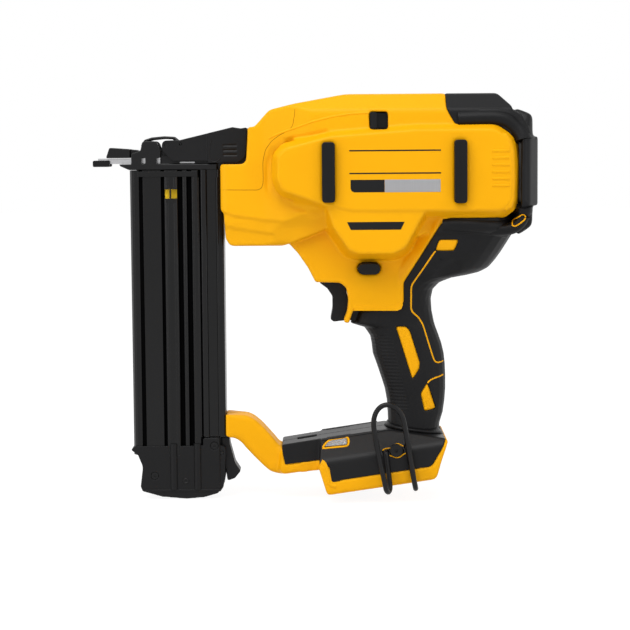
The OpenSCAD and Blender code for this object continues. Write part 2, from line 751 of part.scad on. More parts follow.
// Nose block: base plate, hooks for the bail and the tail that enters the body
module nose_block() {
  color(black) difference() {
    union() {
      side_plate(outline([
        [mag_front - 6, plate_z], [mag_front - 5.4, plate_z - 1.2], [mag_front + 0.5, mag_top],
        [mag_rear - 4, mag_top], [mag_rear - 4, plate_z]
      ]), -cheek_half, cheek_half);
      both_sides() side_plate(hook_pts, cheek_in, cheek_half);
      both_sides() side_plate(outline([
        [mag_front + 21, plate_z - 1], [mag_front + 21, drive_z + 3.5], [hinge[0] - 4, drive_z + 3.5, 1],
        [hinge[0] - 3, hinge[1] + 3, 2], [hinge[0] + 3, hinge[1] + 3, 2], [hinge[0] + 5, drive_z + 3.5],
        [frame_front, drive_z + 3.5], [frame_front, plate_z - 1]
      ]), 6.1, cheek_in - 0.2);
      block(mag_rear - 5, frame_front, -cheek_in + 0.2, cheek_in - 0.2, mag_top, plate_z);
      both_sides() block(
        mag_front + catch_x, mag_front + catch_x + 2.6, 6.1, cheek_in + 1, drive_z + 8.6, drive_z + 11.4
      );
    }
    y_pin(hinge, 1.25 + pin_gap, -20, 20);
    both_sides() for (x = [mag_front + 10, mag_front + 20.2])
      block(x - 1.4, x + 1.4, cheek_in - 1, cheek_half + 1, plate_z + 0.4, plate_z + chan_h);
    both_sides()
      block(mag_front + 33.7, mag_front + 44.3, cheek_in - 4, cheek_in, plate_z + 0.5, plate_z + 1.5);
  }
}
hook_pts = outline([
  [mag_front + 2, plate_z - 1], [mag_front + 2, drive_z + 5, 1], [mag_front + 8.2, drive_z + 7, 1],
  [mag_front + 9.5, drive_z + 13.2, 2], [mag_front + 19, drive_z + 13.2, 3],
  [mag_front + 21.5, drive_z + 7, 2], [mag_front + 21.5, plate_z - 1]
]);

// Door over the nail channel, hinged at its rear end
door_z = plate_z + chan_h;
module nose_door() {
  color(black) difference() {
    union() {
      side_plate(outline([
        [nose_tip - 0.4, door_z, 0.6], [nose_tip + 2, drive_z + 9, 1], [mag_front + 6, drive_z + 7.4, 1],
        [mag_front + 8, door_z + 3, 1], [hinge[0], door_z + 3], [hinge[0], door_z]
      ]), -5.7, 5.7);
      side_plate(outline([
        [nose_tip - 0.4, door_z, 0.6], [nose_tip + 2, drive_z + 9, 1], [mag_front + 1, drive_z + 8],
        [mag_front + 1, door_z]
      ]), -cheek_half + 0.5, cheek_half - 0.5);
      both_sides() side_plate(outline([
        [boss[0] - 5, door_z + 1], [boss[0] - 3, boss[1] + 2.6, 2.5], [boss[0] + 3, boss[1] + 2.6, 2.5],
        [boss[0] + 6, door_z + 1]
      ]), 3, 5.7);
      y_pin(hinge, 2.7, -5.7, 5.7);
    }
    y_pin(hinge, 1.25 + pin_gap, -20, 20);
    y_pin(boss, 1.5 + pin_gap, -20, 20);
  }
}
module door_pin() {
  color(steel) y_pin(hinge, 1.25, -cheek_in + 0.2, cheek_in - 0.2);
}

// Latch lever: a hollow handle over the nose, its pin, and the wire bail
bail_r = 0.9;
bail_in = cheek_in - 1.4;
lever_half = cheek_half - 0.3;
lever_in = cheek_in + 0.3;
lever_rear = notch_x + 0.6;
lever_pts = outline([
  [boss[0] - 3.3, boss[1] + 3.2, 3], [boss[0] + 4, boss[1] + 3.4], [boss[0] + 7.5, boss[1] + 3.2],
  [lever_rear - 9.5, drive_z + 22.1, 2], [lever_rear - 4, drive_z + 21.2, 2],
  [lever_rear + 0.3, drive_z + 21.9, 1], [lever_rear - 0.8, drive_z + 2, 5], [lever_rear - 6, notch_z + 1, 2],
  [mag_rear - 10, notch_z + 1, 1], [mag_rear - 10.5, drive_z - 0.2], [boss[0] + 4, drive_z - 0.2, 1],
  [boss[0] - 3.3, boss[1] - 3.2, 3]
]);
module latch_lever() {
  color(black) difference() {
    union() {
      side_plate(lever_pts, -lever_half, lever_half);
      intersection() {
        side_plate(lever_pts, -lever_half - 1.5, lever_half + 1.5);
        block(mag_rear - 10, 0, -big, big, 0, big);
      }
    }
    side_plate(outline([
      [boss[0] - 10, boss[1] - 12], [boss[0] - 10, boss[1] + 10], [bail_eye[0] + 3.4, boss[1] + 6],
      [bail_eye[0] + 3.8, bail_eye[1]], [lever_rear - 12, drive_z + 17.5], [lever_rear - 3.5, drive_z + 17],
      [lever_rear - 3.5, drive_z + 5], [lever_rear + 5, drive_z + 5], [lever_rear + 5, notch_z - 2]
    ]), -lever_in, lever_in);
    y_pin(boss, 1.5, -big, big);
    y_pin(bail_eye, bail_r + pin_gap, -big, big);
    both_sides() for (i = [0:2])
      block(lever_rear - 16, lever_rear - 6.5, lever_half + 1, big, drive_z + 3 + 3.2 * i, drive_z + 4.4 + 3.2 * i);
  }
}
module latch_pin() {
  color(steel) y_pin(boss, 1.5, -lever_half, lever_half);
}
module latch_bail() {
  front = [mag_front + catch_x - 2, drive_z + 10.2];
  color(steel) wire([
    for (p = [
      [bail_eye, lever_half - 0.3], [bail_eye, bail_in], [boss + [4, 4.9], bail_in], [boss + [-2, 5.2], bail_in],
      [boss + [-10, 4.5], bail_in], [front + [2.1, 3.2], bail_in], [front, bail_in], [front, -bail_in],
      [front + [2.1, 3.2], -bail_in], [boss + [-10, 4.5], -bail_in], [boss + [-2, 5.2], -bail_in],
      [boss + [4, 4.9], -bail_in], [bail_eye, -bail_in], [bail_eye, -lever_half + 0.3]
    ]) [p[0][0], p[1], p[0][1]]
  ], bail_r, 1.2, 8);
}

// Contact trip and its soft pad
trip_half = 5.4;
trip_t = chan_h - 2 * 0.3;
web_z = drive_z - blade_h / 2 - 0.3;
module contact_trip() {
  color(steel) difference() {
    block(trip_x - 8, mag_front + 52, -trip_half, trip_half, plate_z + 0.3, plate_z + 0.3 + trip_t);
    block(trip_x - 9, mag_front + 70, -2.2, 2.2, web_z, big);
    block(trip_x - 1, mag_front + 70, -3.2, 3.2, web_z, big);
  }
}
module no_mar_pad() {
  color(rubber) difference() {
    side_plate(box_outline(trip_x - pad_len, plate_z - 1.6, trip_x, plate_z + chan_h - 1.6, 0.8), -8, 8);
    block(trip_x - 8 - seat_gap, trip_x + 1, -trip_half - seat_gap, trip_half + seat_gap, 0, big);
    block(trip_x - pad_len - 1, trip_x + 1, -2.2, 2.2, web_z, big);
  }
}

// Fixed magazine rail: the outer rib and the nail core
rail_low = 42.3;
rail_head = mag_rear - 15.3;
core_front = mag_front + 5;
pusher_x = [mag_front + 24, mag_front + 32.5];
pusher_face = mag_half - 2.8;
module magazine_rail() {
  color(black) difference() {
    union() {
      along_z(rail_outline, rail_low, mag_top);
      block(core_front, rail_head + 1, -core_half, core_half, rail_low, mag_top);
    }
    block(core_front + 2, mag_rear - 3, -nail_slot / 2, nail_slot / 2, rail_low - 1, mag_top + 1);
    block(pusher_x[0] - slide_gap, pusher_x[1] + slide_gap, -big, -nail_slot / 2 + eps, rail_low - 1, mag_top - 4);
  }
}
rail_outline = outline([
  [rail_head, -mag_half + 0.6, 1], [rail_head + 4, -mag_half, 0.8], [rail_head + 4.2, -mag_half + 1.5, 0.4],
  [rail_head + 11, -mag_half + 1.5, 0.4], [rail_head + 11.2, -mag_half, 0.6], [mag_rear, -mag_half + 1, 1.5],
  [mag_rear, mag_half - 1, 1.5], [rail_head + 11.2, mag_half, 0.6], [rail_head + 11, mag_half - 1.5, 0.4],
  [rail_head + 4.2, mag_half - 1.5, 0.4], [rail_head + 4, mag_half, 0.8], [rail_head, mag_half - 0.6, 1]
]);

// Sliding magazine cover: an extrusion with long ribs, closed at its front
cover_front = mag_front + 0.5;
cover_rear = rail_head - slide_gap;
cover_low = 30;
cover_top = mag_top - 0.3;
cover_outline = outline([
  [cover_rear, core_half + slide_gap], [cover_rear, mag_half - 1.8, 0.6], [mag_front + 45.8, mag_half - 0.2, 1],
  [mag_front + 42, mag_half - 0.2, 1.4], [mag_front + 41, mag_half - 2.8, 0.4],
  [mag_front + 39.2, mag_half - 2.8, 0.4], [mag_front + 38.4, mag_half - 0.8, 0.8],
  [mag_front + 35.8, mag_half - 0.8, 0.8], [mag_front + 35, mag_half - 2.8, 0.4],
  [mag_front + 33.5, mag_half - 2.8, 0.5], [mag_front + 32.3, mag_half, 1.8],
  [mag_front + 24, mag_half, 1.8], [mag_front + 22.8, mag_half - 2.4, 0.5],
  [mag_front + 22, mag_half - 2.4, 0.5], [mag_front + 21.6, mag_half - 1, 0.6],
  [mag_front + 9.4, mag_half - 1, 0.6], [mag_front + 8.8, mag_half - 2, 0.4],
  [mag_front + 7.2, mag_half - 2, 0.4], [mag_front + 6.6, mag_half - 1.2, 0.5],
  [mag_front + 3.6, mag_half - 1.2, 0.5], [mag_front + 2, mag_half - 2.4, 1], [cover_front, mag_half - 5, 2],
  [cover_front, 0], [core_front - slide_gap, 0], [core_front - slide_gap, core_half + slide_gap]
]);
module magazine_cover() {
  color(black) difference() {
    both_sides() along_z(cover_outline, cover_low, cover_top);
    for (x = [mag_front + 25.2, mag_front + 30.2])
      block(x - 2, x + 2, -big, -core_half, pusher_z - 3, pusher_z + 3.2);
    block(core_front - 8, mag_front + 16, -1.6, 1.6, cover_top - 4, cover_top + 1);
    block(pusher_x[0] - slide_gap, pusher_x[1] + slide_gap, -pusher_face - slide_gap, 0,
      pusher_z - 12 - pusher_travel - 1, pusher_z + 6);
    cap_screw_holes();
  }
}

// Pusher, behind the cover's window
pusher_z = drive_z - 22;
module pusher() {
  color(yellow) {
    block(pusher_x[0], pusher_x[1], -pusher_face, -nail_slot / 2 + 0.3, pusher_z - 12, pusher_z + 5);
    block(core_front + 4, mag_rear - 5, -nail_slot / 2 + 0.3, nail_slot / 2 - 0.3, pusher_z - 12, pusher_z + 9);
  }
}

// End cap of the cover, its screws and the latch
cap_split = rail_head - 0.2;
latch_axis = [mag_rear - 3, 31];
module end_cap() {
  color(black) difference() {
    union() {
      side_plate(outline([
        [mag_front - 1.2, 33.5, 0.5], [mag_front + 3.4, 30], [mag_front + 6.6, 22, 8], [mag_front + 4.9, 8.5, 3],
        [mag_front + 6.2, 5.3, 1], [mag_front + 19.5, 1.5], [mag_front + 36, 0, 4], [mag_front + 48, 1, 2],
        [mag_front + 58.5, 4, 3], [mag_rear - 4.4, 12], [mag_rear - 4.4, 41.4, 1], [cap_split, 41.4, 1],
        [cap_split, 36, 1], [mag_front + 1, 36, 1]
      ]), -mag_half, mag_half);
      both_sides() side_plate(outline([
        [mag_rear - 8, 3.8], [mag_rear - 2.4, 6.6, 3], [mag_rear - 1.1, 14, 3], [mag_rear - 0.5, 27, 2],
        [mag_rear - 0.5, 35, 2], [mag_rear - 8, 38]
      ]), 7.2, mag_half - 1);
    }
    both_sides() along_z(cover_outline, cover_low - seat_gap, big, -seat_gap);
    block(core_front - slide_gap, cover_rear + 0.2, -core_half - slide_gap, core_half + slide_gap, 36, big);
    cap_screw_holes();
    y_pin(latch_axis, 1.2 + pin_gap, -20, 20);
  }
}
cap_screw_places = [[mag_front + 14.6, 15.8], [mag_rear - 8, 36]];
module cap_screw_holes() {
  both_sides() for (c = cap_screw_places) y_pin(c, 2.6, mag_half - 2, big);
}
module end_cap_screws() {
  color("#3c3c40") both_sides() for (c = cap_screw_places) difference() {
    y_pin(c, 2.4, mag_half - 2 + eps, mag_half - 0.4);
    y_pin(c, 1, mag_half - 1.2, mag_half);
  }
}
module magazine_latch() {
  color(black) difference() {
    side_plate(outline([
      [mag_rear - 3.2, 41], [mag_rear + 1.8, 41.4, 1], [mag_rear + 2.4, 36, 3], [mag_rear + 5.7, 23.5, 6],
      [mag_rear + 9.4, 17.8, 1], [mag_rear + 5.5, 13, 2], [mag_rear + 0.4, 11.2, 1], [mag_rear - 0.6, 19, 2],
      [mag_rear - 3.6, 28, 2]
    ]), -6.9, 6.9);
    y_pin(latch_axis, 1.2 + pin_gap, -20, 20);
  }
}
module magazine_latch_pin() {
  color(steel) y_pin(latch_axis, 1.2, -mag_half + 1, mag_half - 1);
}

// Drive frame: plates, side rails and guides for the pinch carriage
guide_x = [flywheel_x - 13, flywheel_x + 13];
module drive_frame() {
  color(alloy) difference() {
    union() {
      block(frame_front, frame_front + frame_t, -rail_half, rail_half, drive_z - 20, drive_z + 12);
      block(frame_rear, frame_rear + frame_t, -rail_half, rail_half, drive_z - 30, drive_z + 12);
      both_sides() block(frame_front, frame_rear + frame_t, rail_half - rail_t, rail_half, drive_z - 30, drive_z - 16);
      for (x = [guide_x[0] - 3, guide_x[1]]) {
        block(x, x + 3, -rail_half, rail_half, drive_z + 6, drive_z + 26);
        both_sides() block(x, x + 3, rail_half - rail_t, rail_half, drive_z - 20, drive_z + 20);
      }
      block(guide_x[1] + 2, guide_x[1] + 34, -10, 10, shelf_z - 3, shelf_z);
    }
    block(frame_front - 1, frame_front + frame_t + 1, -cheek_in, cheek_in, drive_z - 3, drive_z + 3);
    y_pin(flywheel_c, axle_r, -big, big);
    both_sides() x_pin(frame_front - 1, frame_rear + frame_t + 1, guide_half, drive_z, guide_r);
    block(guide_x[0] - 4, guide_x[1] + 4, -6, 6, drive_z + 19, drive_z + 27);
  }
}
module guide_rods() {
  color(steel) both_sides() x_pin(frame_front, frame_rear + frame_t, guide_half, drive_z, guide_r);
}
module return_springs() {
  color(steel) both_sides() difference() {
    x_pin(frame_front + frame_t, carrier_x + carrier_l - ear_l, guide_half, drive_z, spring_r);
    x_pin(frame_front, carrier_x + carrier_l, guide_half, drive_z, guide_r + 0.4);
  }
}
module front_bumper() {
  color(rubber) difference() {
    block(frame_front + frame_t, frame_front + frame_t + 4 - 0.3, -8, 8, drive_z - 6, drive_z + 6);
    block(frame_front, frame_front + 20, -2.6, 2.6, drive_z - 1.8, drive_z + 1.8);
  }
}
module rear_bumper() {
  color(rubber) block(frame_rear - 5.7, frame_rear, -8, 8, drive_z - 5, drive_z + 5);
}

// Driver: the blade and the carrier that the flywheel grips
blade_half = 1.6;
ear_half = rail_half - rail_t - 0.5;
module driver() {
  color(steel) difference() {
    union() {
      block(blade_tip, carrier_x + 2, -blade_half, blade_half,
        drive_z - blade_h / 2, drive_z + blade_h / 2);
      block(carrier_x, carrier_x + carrier_l, -7, 7, carrier_z, carrier_z + carrier_h);
      block(carrier_x + carrier_l - ear_l, carrier_x + carrier_l, -ear_half, ear_half,
        carrier_z + 0.5, carrier_z + carrier_h + 0.5);
    }
    both_sides() x_pin(0, big, guide_half, drive_z, guide_r + pin_gap);
  }
}

// Flywheel motor: outer rotor on bearings, fixed stator and axle
rotor_half = 16;
rotor_in = flywheel_r - 4.5;
bearing_r = axle_r + 4;
module flywheel() {
  color(alloy) translate([flywheel_x, 0, flywheel_z]) rotate([-90, 0, 0]) rotate_extrude()
    polygon(concat(
      [[bearing_r, rotor_half], [bearing_r, rotor_half - 5], [rotor_in, rotor_half - 5]],
      [[rotor_in, -rotor_half], [flywheel_r - 1.5, -rotor_half], [flywheel_r - 1.5, -9]],
      [for (i = [0:7]) each [[flywheel_r, -8 + 2 * i], [flywheel_r - 0.9, -7 + 2 * i]]],
      [[flywheel_r, 8], [flywheel_r - 1.5, 9], [flywheel_r - 1.5, rotor_half]]
    ));
}
module flywheel_bearings() {
  color(steel) difference() {
    y_pin(flywheel_c, bearing_r, rotor_half - 5, rotor_half);
    y_pin(flywheel_c, axle_r + pin_gap, 0, big);
  }
}
module stator() {
  color(copper) difference() {
    union() {
      y_pin(flywheel_c, 8, -rotor_half + 1, rotor_half - 6);
      for (i = [0:8]) translate([flywheel_x, 0, flywheel_z]) rotate([0, 40 * i, 0])
        block(-2.1, 2.1, -rotor_half + 2, rotor_half - 7, 7, rotor_in - 1.2);
    }
    y_pin(flywheel_c, axle_r, -big, big);
  }
}
module axle() {
  color(steel) y_pin(flywheel_c, axle_r, -rail_half, rail_half);
}

// Pinch carriage with its roller, pressed down by the solenoid's wedge
ramp = pinch_travel / plunger_travel;
carriage_z = roller_z + roller_r + 0.8;
roller_half = 6;
function ramp_z(x) = carriage_z + 3 - ramp * (x - flywheel_x);
module pinch_carriage() {
  x0 = guide_x[0] + slide_gap;
  x1 = guide_x[1] - slide_gap;
  color(alloy) difference() {
    union() {
      side_plate([[x0, carriage_z], [x1, carriage_z], [x1, ramp_z(x1)], [x0, ramp_z(x0)]], -9, 9);
      both_sides() side_plate(outline([
        [x0, carriage_z + 1], [x0, roller_z - 1, 3], [flywheel_x - 4, roller_z - 4, 3],
        [flywheel_x + 4, roller_z - 4, 3], [x1, roller_z - 1, 3], [x1, carriage_z + 1]
      ]), roller_half + slide_gap, 9);
    }
    y_pin([flywheel_x, roller_z], 2, -big, big);
  }
}
module pinch_roller() {
  color(steel) difference() {
    y_pin([flywheel_x, roller_z], roller_r, -roller_half, roller_half);
    y_pin([flywheel_x, roller_z], 2 + pin_gap, -big, big);
  }
}
module roller_pin() {
  color(steel) y_pin([flywheel_x, roller_z], 2, -9, 9);
}
coil_x = guide_x[1] + 3;
coil_l = 28;
coil_r = 7.5;
plunger_r = 3;
shelf_z = drive_z + 18;
plunger_z = shelf_z + coil_r;
module solenoid_coil() {
  color(copper) difference() {
    union() {
      x_pin(coil_x, coil_x + coil_l, 0, plunger_z, coil_r);
      block(coil_x, coil_x + coil_l, -coil_r, coil_r, shelf_z, plunger_z);
    }
    x_pin(coil_x - 1, coil_x + coil_l - 4, 0, plunger_z, plunger_r + slide_gap / 2);
  }
}
module solenoid_plunger() {
  wedge_x = [flywheel_x - 6, coil_x - plunger_travel - 0.6];
  color(steel) {
    x_pin(wedge_x[1] - 1, coil_x + coil_l - 4 - plunger_travel - 1, 0, plunger_z, plunger_r);
    side_plate([
      [wedge_x[0], ramp_z(wedge_x[0]) + 0.3], [wedge_x[1], ramp_z(wedge_x[1]) + 0.3],
      [wedge_x[1], plunger_z + 2], [wedge_x[0], plunger_z + 2]
    ], -4.5, 4.5);
  }
}

// Trigger, its pin and the switch behind it
module trigger() {
  color(rubber) difference() {
    side_plate(outline([
      [3, trig_top - 0.6, 1], [8.4, trig_top - 4.6, 3], [11.8, trig_top - 9.8, 5], [11.8, trig_top - 18, 8],
      [10.4, trig_top - 25.4, 1], [12.5, trig_top - 27, 1], [22.6, trig_top - 26, 1.5],
      [24.8, trig_top - 19.5, 3], [21.6, trig_top - 9, 6], [20, trig_top + 6, 2], [17.5, trig_top + 12, 3],
      [10.5, trig_top + 12, 3], [6, trig_top + 3, 2]
    ]), -trigger_half, trigger_half);
    y_pin(trigger_axis, 2 + pin_gap, -20, 20);
  }
}
module trigger_pin() {
  color(steel) y_pin(trigger_axis, 2, -cheek_y + 4, cheek_y - 4);
}
module trigger_switch() {
  color("#303034") {
    block(35, 55, -switch_half, switch_half, trig_top - 21, switch_top);
    block(28.5, 36, -3, 3, trig_top - 14, trig_top - 8);
  }
}

// Cross-bolt that locks the trigger, and the slider that frees a stalled drive
lock_end = 27;
module lock_off_button() {
  color(black) lock_oval(lock_c, 0, -lock_end - lock_travel / 2, lock_end - lock_travel / 2);
}
module stall_release() {
  color("#8d8f93") {
    block(stall_x0 + slide_gap, stall_x0 + 4.5, -body_half + 0.4, -body_half + 8, stall_z0 + slide_gap,
      stall_z1 - slide_gap);
    block(stall_x0 - stall_travel - 0.5, stall_x1 + 0.5, -body_half + 6.5, -body_half + 9 - slide_gap,
      stall_z0 + slide_gap, stall_z1 - slide_gap);
  }
}

// Depth wheel on its screw, behind the magazine
module depth_wheel() {
  color(black) difference() {
    union() {
      x_pin(wheel_c[0] - 3, wheel_c[0] + 3, 0, wheel_c[1], wheel_r - 0.6);
      for (i = [0:17]) translate([wheel_c[0], 0, wheel_c[1]]) rotate([20 * i, 0, 0])
        block(-3, 3, -0.8, 0.8, wheel_r - 2, wheel_r);
    }
    x_pin(-big, big, 0, wheel_c[1], wheel_pin_r + pin_gap);
  }
}
module depth_screw() {
  color(steel) x_pin(wheel_c[0] - wheel_out, wheel_c[0] + wheel_out, 0, wheel_c[1], wheel_pin_r);
}

// Battery contacts and the circuit board in the foot
module terminal_block() {
  color("#39393d") on_foot_frame()
    block(foot_len - rail_len + 0.2, foot_len - rail_len + 18, -bay_half + 3, bay_half - 3, 4, bay_top);
}
module terminal_blades() {
  color(copper) on_foot_frame() for (y = [-12, -4, 4, 12])
    block(foot_len - rail_len + 18, foot_len - rail_len + 34, y - 0.4, y + 0.4, 5, 8.6);
}
module control_board() {
  color(green) on_foot_frame()
    block(10, foot_len - 12, -foot_half + skin + wall + 2, foot_half - skin - wall - 2, board_z, board_z + 1.6);
}

// Belt hook: one bent wire on the left of the foot, and its screw
hook_feet = [on_foot(41.5, foot_h - 13), on_foot(56, foot_h - 12)];
hook_low = [on_foot(39, -2.7), on_foot(56.5, -2.7)];
hook_top = [on_foot(36.2, foot_h + 8), on_foot(57, foot_h + 6)];
hook_arch = [
  on_foot(37.2, foot_h + 13), on_foot(40.4, foot_h + 17.8), on_foot(46, foot_h + 20),
  on_foot(51.6, foot_h + 17.6), on_foot(55.4, foot_h + 12.4)
];
module belt_hook() {
  far = -hook_y + wire_r - 1.5;
  near = -foot_half - wire_r - 0.4;
  color(black) wire([
    for (p = [
      [hook_feet[0], -foot_half + 6], [hook_feet[0], near], [hook_low[0] + [0, 2], near],
      [hook_low[0], (near + far) / 2], [hook_low[0] + [0, 2], far], [hook_top[0], far], each
      [for (p = hook_arch) [p, far]], [hook_top[1], far], [hook_low[1] + [0, 2], far],
      [hook_low[1], (near + far) / 2], [hook_low[1] + [0, 2], near], [hook_feet[1], near],
      [hook_feet[1], -foot_half + 6]
    ]) [p[0][0], p[1], p[0][1]]
  ], wire_r, 3.2);
}
module belt_hook_screw() {
  color("#3c3c40") difference() {
    union() {
      y_pin(screw_c, hook_screw_r, -foot_half - 0.5, -foot_half + 11);
      y_pin(screw_c, 4.2, -foot_half - 0.5, -foot_half + skin);
    }
    y_pin(screw_c, 1.2, -foot_half - 1, -foot_half + 1);
  }
}
module hook_insert() {
  color("#b8935a") difference() {
    y_pin(screw_c, hook_screw_r + 1.5, foot_half - 12, foot_half);
    y_pin(screw_c, hook_screw_r, foot_half - 9, big);
  }
}
module housing_screws() {
  color("#4a4a4e") for (c = screw_places) difference() {
    union() {
      y_pin(c, screw_r, 0.2, head_y + 1);
      y_pin(c, head_r, head_y, head_y + 2.5);
    }
    y_pin(c, 1.2, head_y + 1.2, big);
  }
}

left_housing();
right_housing();
left_grip();
right_grip();
left_foot_cover();
right_foot_cover();
rear_cap();
top_bumper();
side_pads();
nose_block();
magazine_rail();
drive_frame();
guide_rods();
return_springs();
front_bumper();
rear_bumper();
stator();
axle();
solenoid_coil();
control_board();
trigger_switch();
trigger_pin();
terminal_block();
terminal_blades();
light_lenses();
light_board();
indicator_window();
belt_hook();
belt_hook_screw();
hook_insert();
housing_screws();
door_pin();
driver();
flywheel();
flywheel_bearings();
pinch_carriage();
pinch_roller();
roller_pin();
solenoid_plunger();
contact_trip();
no_mar_pad();
nose_door();
latch_lever();
latch_pin();
latch_bail();
trigger();
lock_off_button();
stall_release();
depth_wheel();
depth_screw();
magazine_cover();
end_cap();
end_cap_screws();
magazine_latch();
magazine_latch_pin();
pusher();
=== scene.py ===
# %% [markdown]
# # A cordless brad nailer, dressed for its portrait
# The imported solids are already the right size and in the right place. This lesson gives them the
# soft edges, moulded grain and small trim that the finished tool shows. The frame comes first.
# Lengths on the tool are written in millimetres, and `MM` turns them into Blender's metres. The
# studio and the shaders are in metres from the start.

import json
import math

import bmesh
import bpy
from mathutils import Matrix, Vector
from mathutils.bvhtree import BVHTree


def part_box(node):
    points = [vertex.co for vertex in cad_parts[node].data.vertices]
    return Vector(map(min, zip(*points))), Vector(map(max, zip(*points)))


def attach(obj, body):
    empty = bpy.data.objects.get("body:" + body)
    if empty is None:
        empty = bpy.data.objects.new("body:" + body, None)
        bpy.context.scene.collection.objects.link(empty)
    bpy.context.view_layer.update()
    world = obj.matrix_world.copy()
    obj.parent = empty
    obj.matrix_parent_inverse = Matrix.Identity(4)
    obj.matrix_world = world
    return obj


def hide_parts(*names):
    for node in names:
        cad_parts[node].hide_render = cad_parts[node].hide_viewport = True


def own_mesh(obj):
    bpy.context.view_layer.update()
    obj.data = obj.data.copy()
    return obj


MM = 0.001
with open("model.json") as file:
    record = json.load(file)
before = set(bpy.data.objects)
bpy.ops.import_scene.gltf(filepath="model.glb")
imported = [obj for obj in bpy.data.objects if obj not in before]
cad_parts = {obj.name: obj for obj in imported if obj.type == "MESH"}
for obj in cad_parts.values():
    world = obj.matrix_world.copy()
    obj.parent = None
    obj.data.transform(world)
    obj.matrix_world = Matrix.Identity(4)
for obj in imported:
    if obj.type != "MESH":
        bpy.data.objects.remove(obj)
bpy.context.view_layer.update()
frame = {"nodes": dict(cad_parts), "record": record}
nodes = frame["nodes"]
behaviour = frame["record"]["behaviour"]
body_of_node = {n: b for b, members in behaviour["bodies"].items() for n in members}
slot_of_node = {s["node"]: s["material_slot"] for s in frame["record"]["subparts"]}
tool = body_of_node["left_housing"]
sides = (("left", -1.0), ("right", 1.0))
scene = bpy.context.scene
scene.view_settings.view_transform = "Standard"


def mesh_of(bm, name):
    mesh = bpy.data.meshes.new(name)
    bm.to_mesh(mesh)
    bm.free()
    return mesh


def add_object(name, mesh):
    made = bpy.data.objects.new(name, mesh)
    scene.collection.objects.link(made)
    return made


# %% [markdown]
# ## The camera
# The tool was photographed square on its left side, from a little above and far away, with a long
# lens. A camera that stands 1.28 m off and looks down by five degrees gives the same drawing: the
# foot's base and the panel's lower slope show, and the two sides of the handle hide each other.

# %% Camera
PICTURE_WIDTH, FOCAL_LENGTH = 630.0, 1889.0  # both in pixels
camera_data = bpy.data.cameras.new("portrait_camera")
camera_data.sensor_width = 36.0
camera_data.lens = FOCAL_LENGTH / PICTURE_WIDTH * camera_data.sensor_width
camera = add_object("portrait_camera", camera_data)
stand = Matrix.Translation((0.0, -1.2721, 0.2342))
tilt_down = Matrix.Rotation(math.radians(85.0), 4, "X")
slight_roll = Matrix.Rotation(math.radians(-0.44), 4, "Z")
camera.matrix_world = stand @ tilt_down @ slight_roll
scene.camera = camera
print("camera lens:", round(camera_data.lens, 1), "mm")

# %% [markdown]
# ## World, floor and lamps
# A studio shot on white has one broad soft lamp overhead, a narrow one on either side, a weak one
# behind and a bright room. The white behind the tool is only what the camera and mirror-like
# surfaces see, so it adds nothing to the tool but reflections. The floor takes a faint shadow.

# %% World and floor
ROOM_LIGHT, WHITE = 0.47, 1.0
PAPER_GREY, SHADOW_GREY, PAPER_GLOW = 0.8, 0.2, 0.92
FLOOR_DROP, FLOOR_HALF = 0.5 * MM, 6.0


def white_for_the_camera(tree, plain, white):
    path = tree.nodes.new("ShaderNodeLightPath")
    seen = tree.nodes.new("ShaderNodeMath")
    seen.operation = "MAXIMUM"
    tree.links.new(path.outputs["Is Camera Ray"], seen.inputs[0])
    mirror = tree.nodes.new("ShaderNodeMath")
    mirror.operation = "MAXIMUM"
    tree.links.new(path.outputs["Is Glossy Ray"], mirror.inputs[0])
    tree.links.new(path.outputs["Is Transmission Ray"], mirror.inputs[1])
    tree.links.new(mirror.outputs[0], seen.inputs[1])
    mix = tree.nodes.new("ShaderNodeMixShader")
    tree.links.new(seen.outputs[0], mix.inputs[0])
    tree.links.new(plain, mix.inputs[1])
    tree.links.new(white, mix.inputs[2])
    return mix.outputs[0]


def background(tree, strength):
    made = tree.nodes.new("ShaderNodeBackground")
    made.inputs["Color"].default_value = (1.0, 1.0, 1.0, 1.0)
    made.inputs["Strength"].default_value = strength
    return made.outputs[0]


def matt(tree, grey):
    made = tree.nodes.new("ShaderNodeBsdfDiffuse")
    made.inputs["Color"].default_value = (grey, grey, grey, 1.0)
    return made.outputs[0]


world = bpy.data.worlds.new("studio_room")
scene.world = world
world.use_nodes = True
room = world.node_tree
room.nodes.clear()
dim, bright = background(room, ROOM_LIGHT), background(room, WHITE)
room_out = room.nodes.new("ShaderNodeOutputWorld")
room.links.new(white_for_the_camera(room, dim, bright), room_out.inputs[0])

bm = bmesh.new()
bmesh.ops.create_grid(bm, x_segments=1, y_segments=1, size=FLOOR_HALF)
floor = add_object("studio_floor", mesh_of(bm, "studio_floor"))
floor.location.z = -FLOOR_DROP
floor_look = bpy.data.materials.new("studio_floor")
floor_look.use_nodes = True
paper = floor_look.node_tree
paper.nodes.clear()
glow = paper.nodes.new("ShaderNodeEmission")
glow.inputs["Strength"].default_value = PAPER_GLOW
both = paper.nodes.new("ShaderNodeAddShader")
paper.links.new(matt(paper, SHADOW_GREY), both.inputs[0])
paper.links.new(glow.outputs[0], both.inputs[1])
seen_paper = white_for_the_camera(paper, matt(paper, PAPER_GREY), both.outputs[0])
paper_out = paper.nodes.new("ShaderNodeOutputMaterial")
paper.links.new(seen_paper, paper_out.inputs[0])
floor.data.materials.append(floor_look)
print("floor at", round(floor.location.z / MM, 2), "mm")

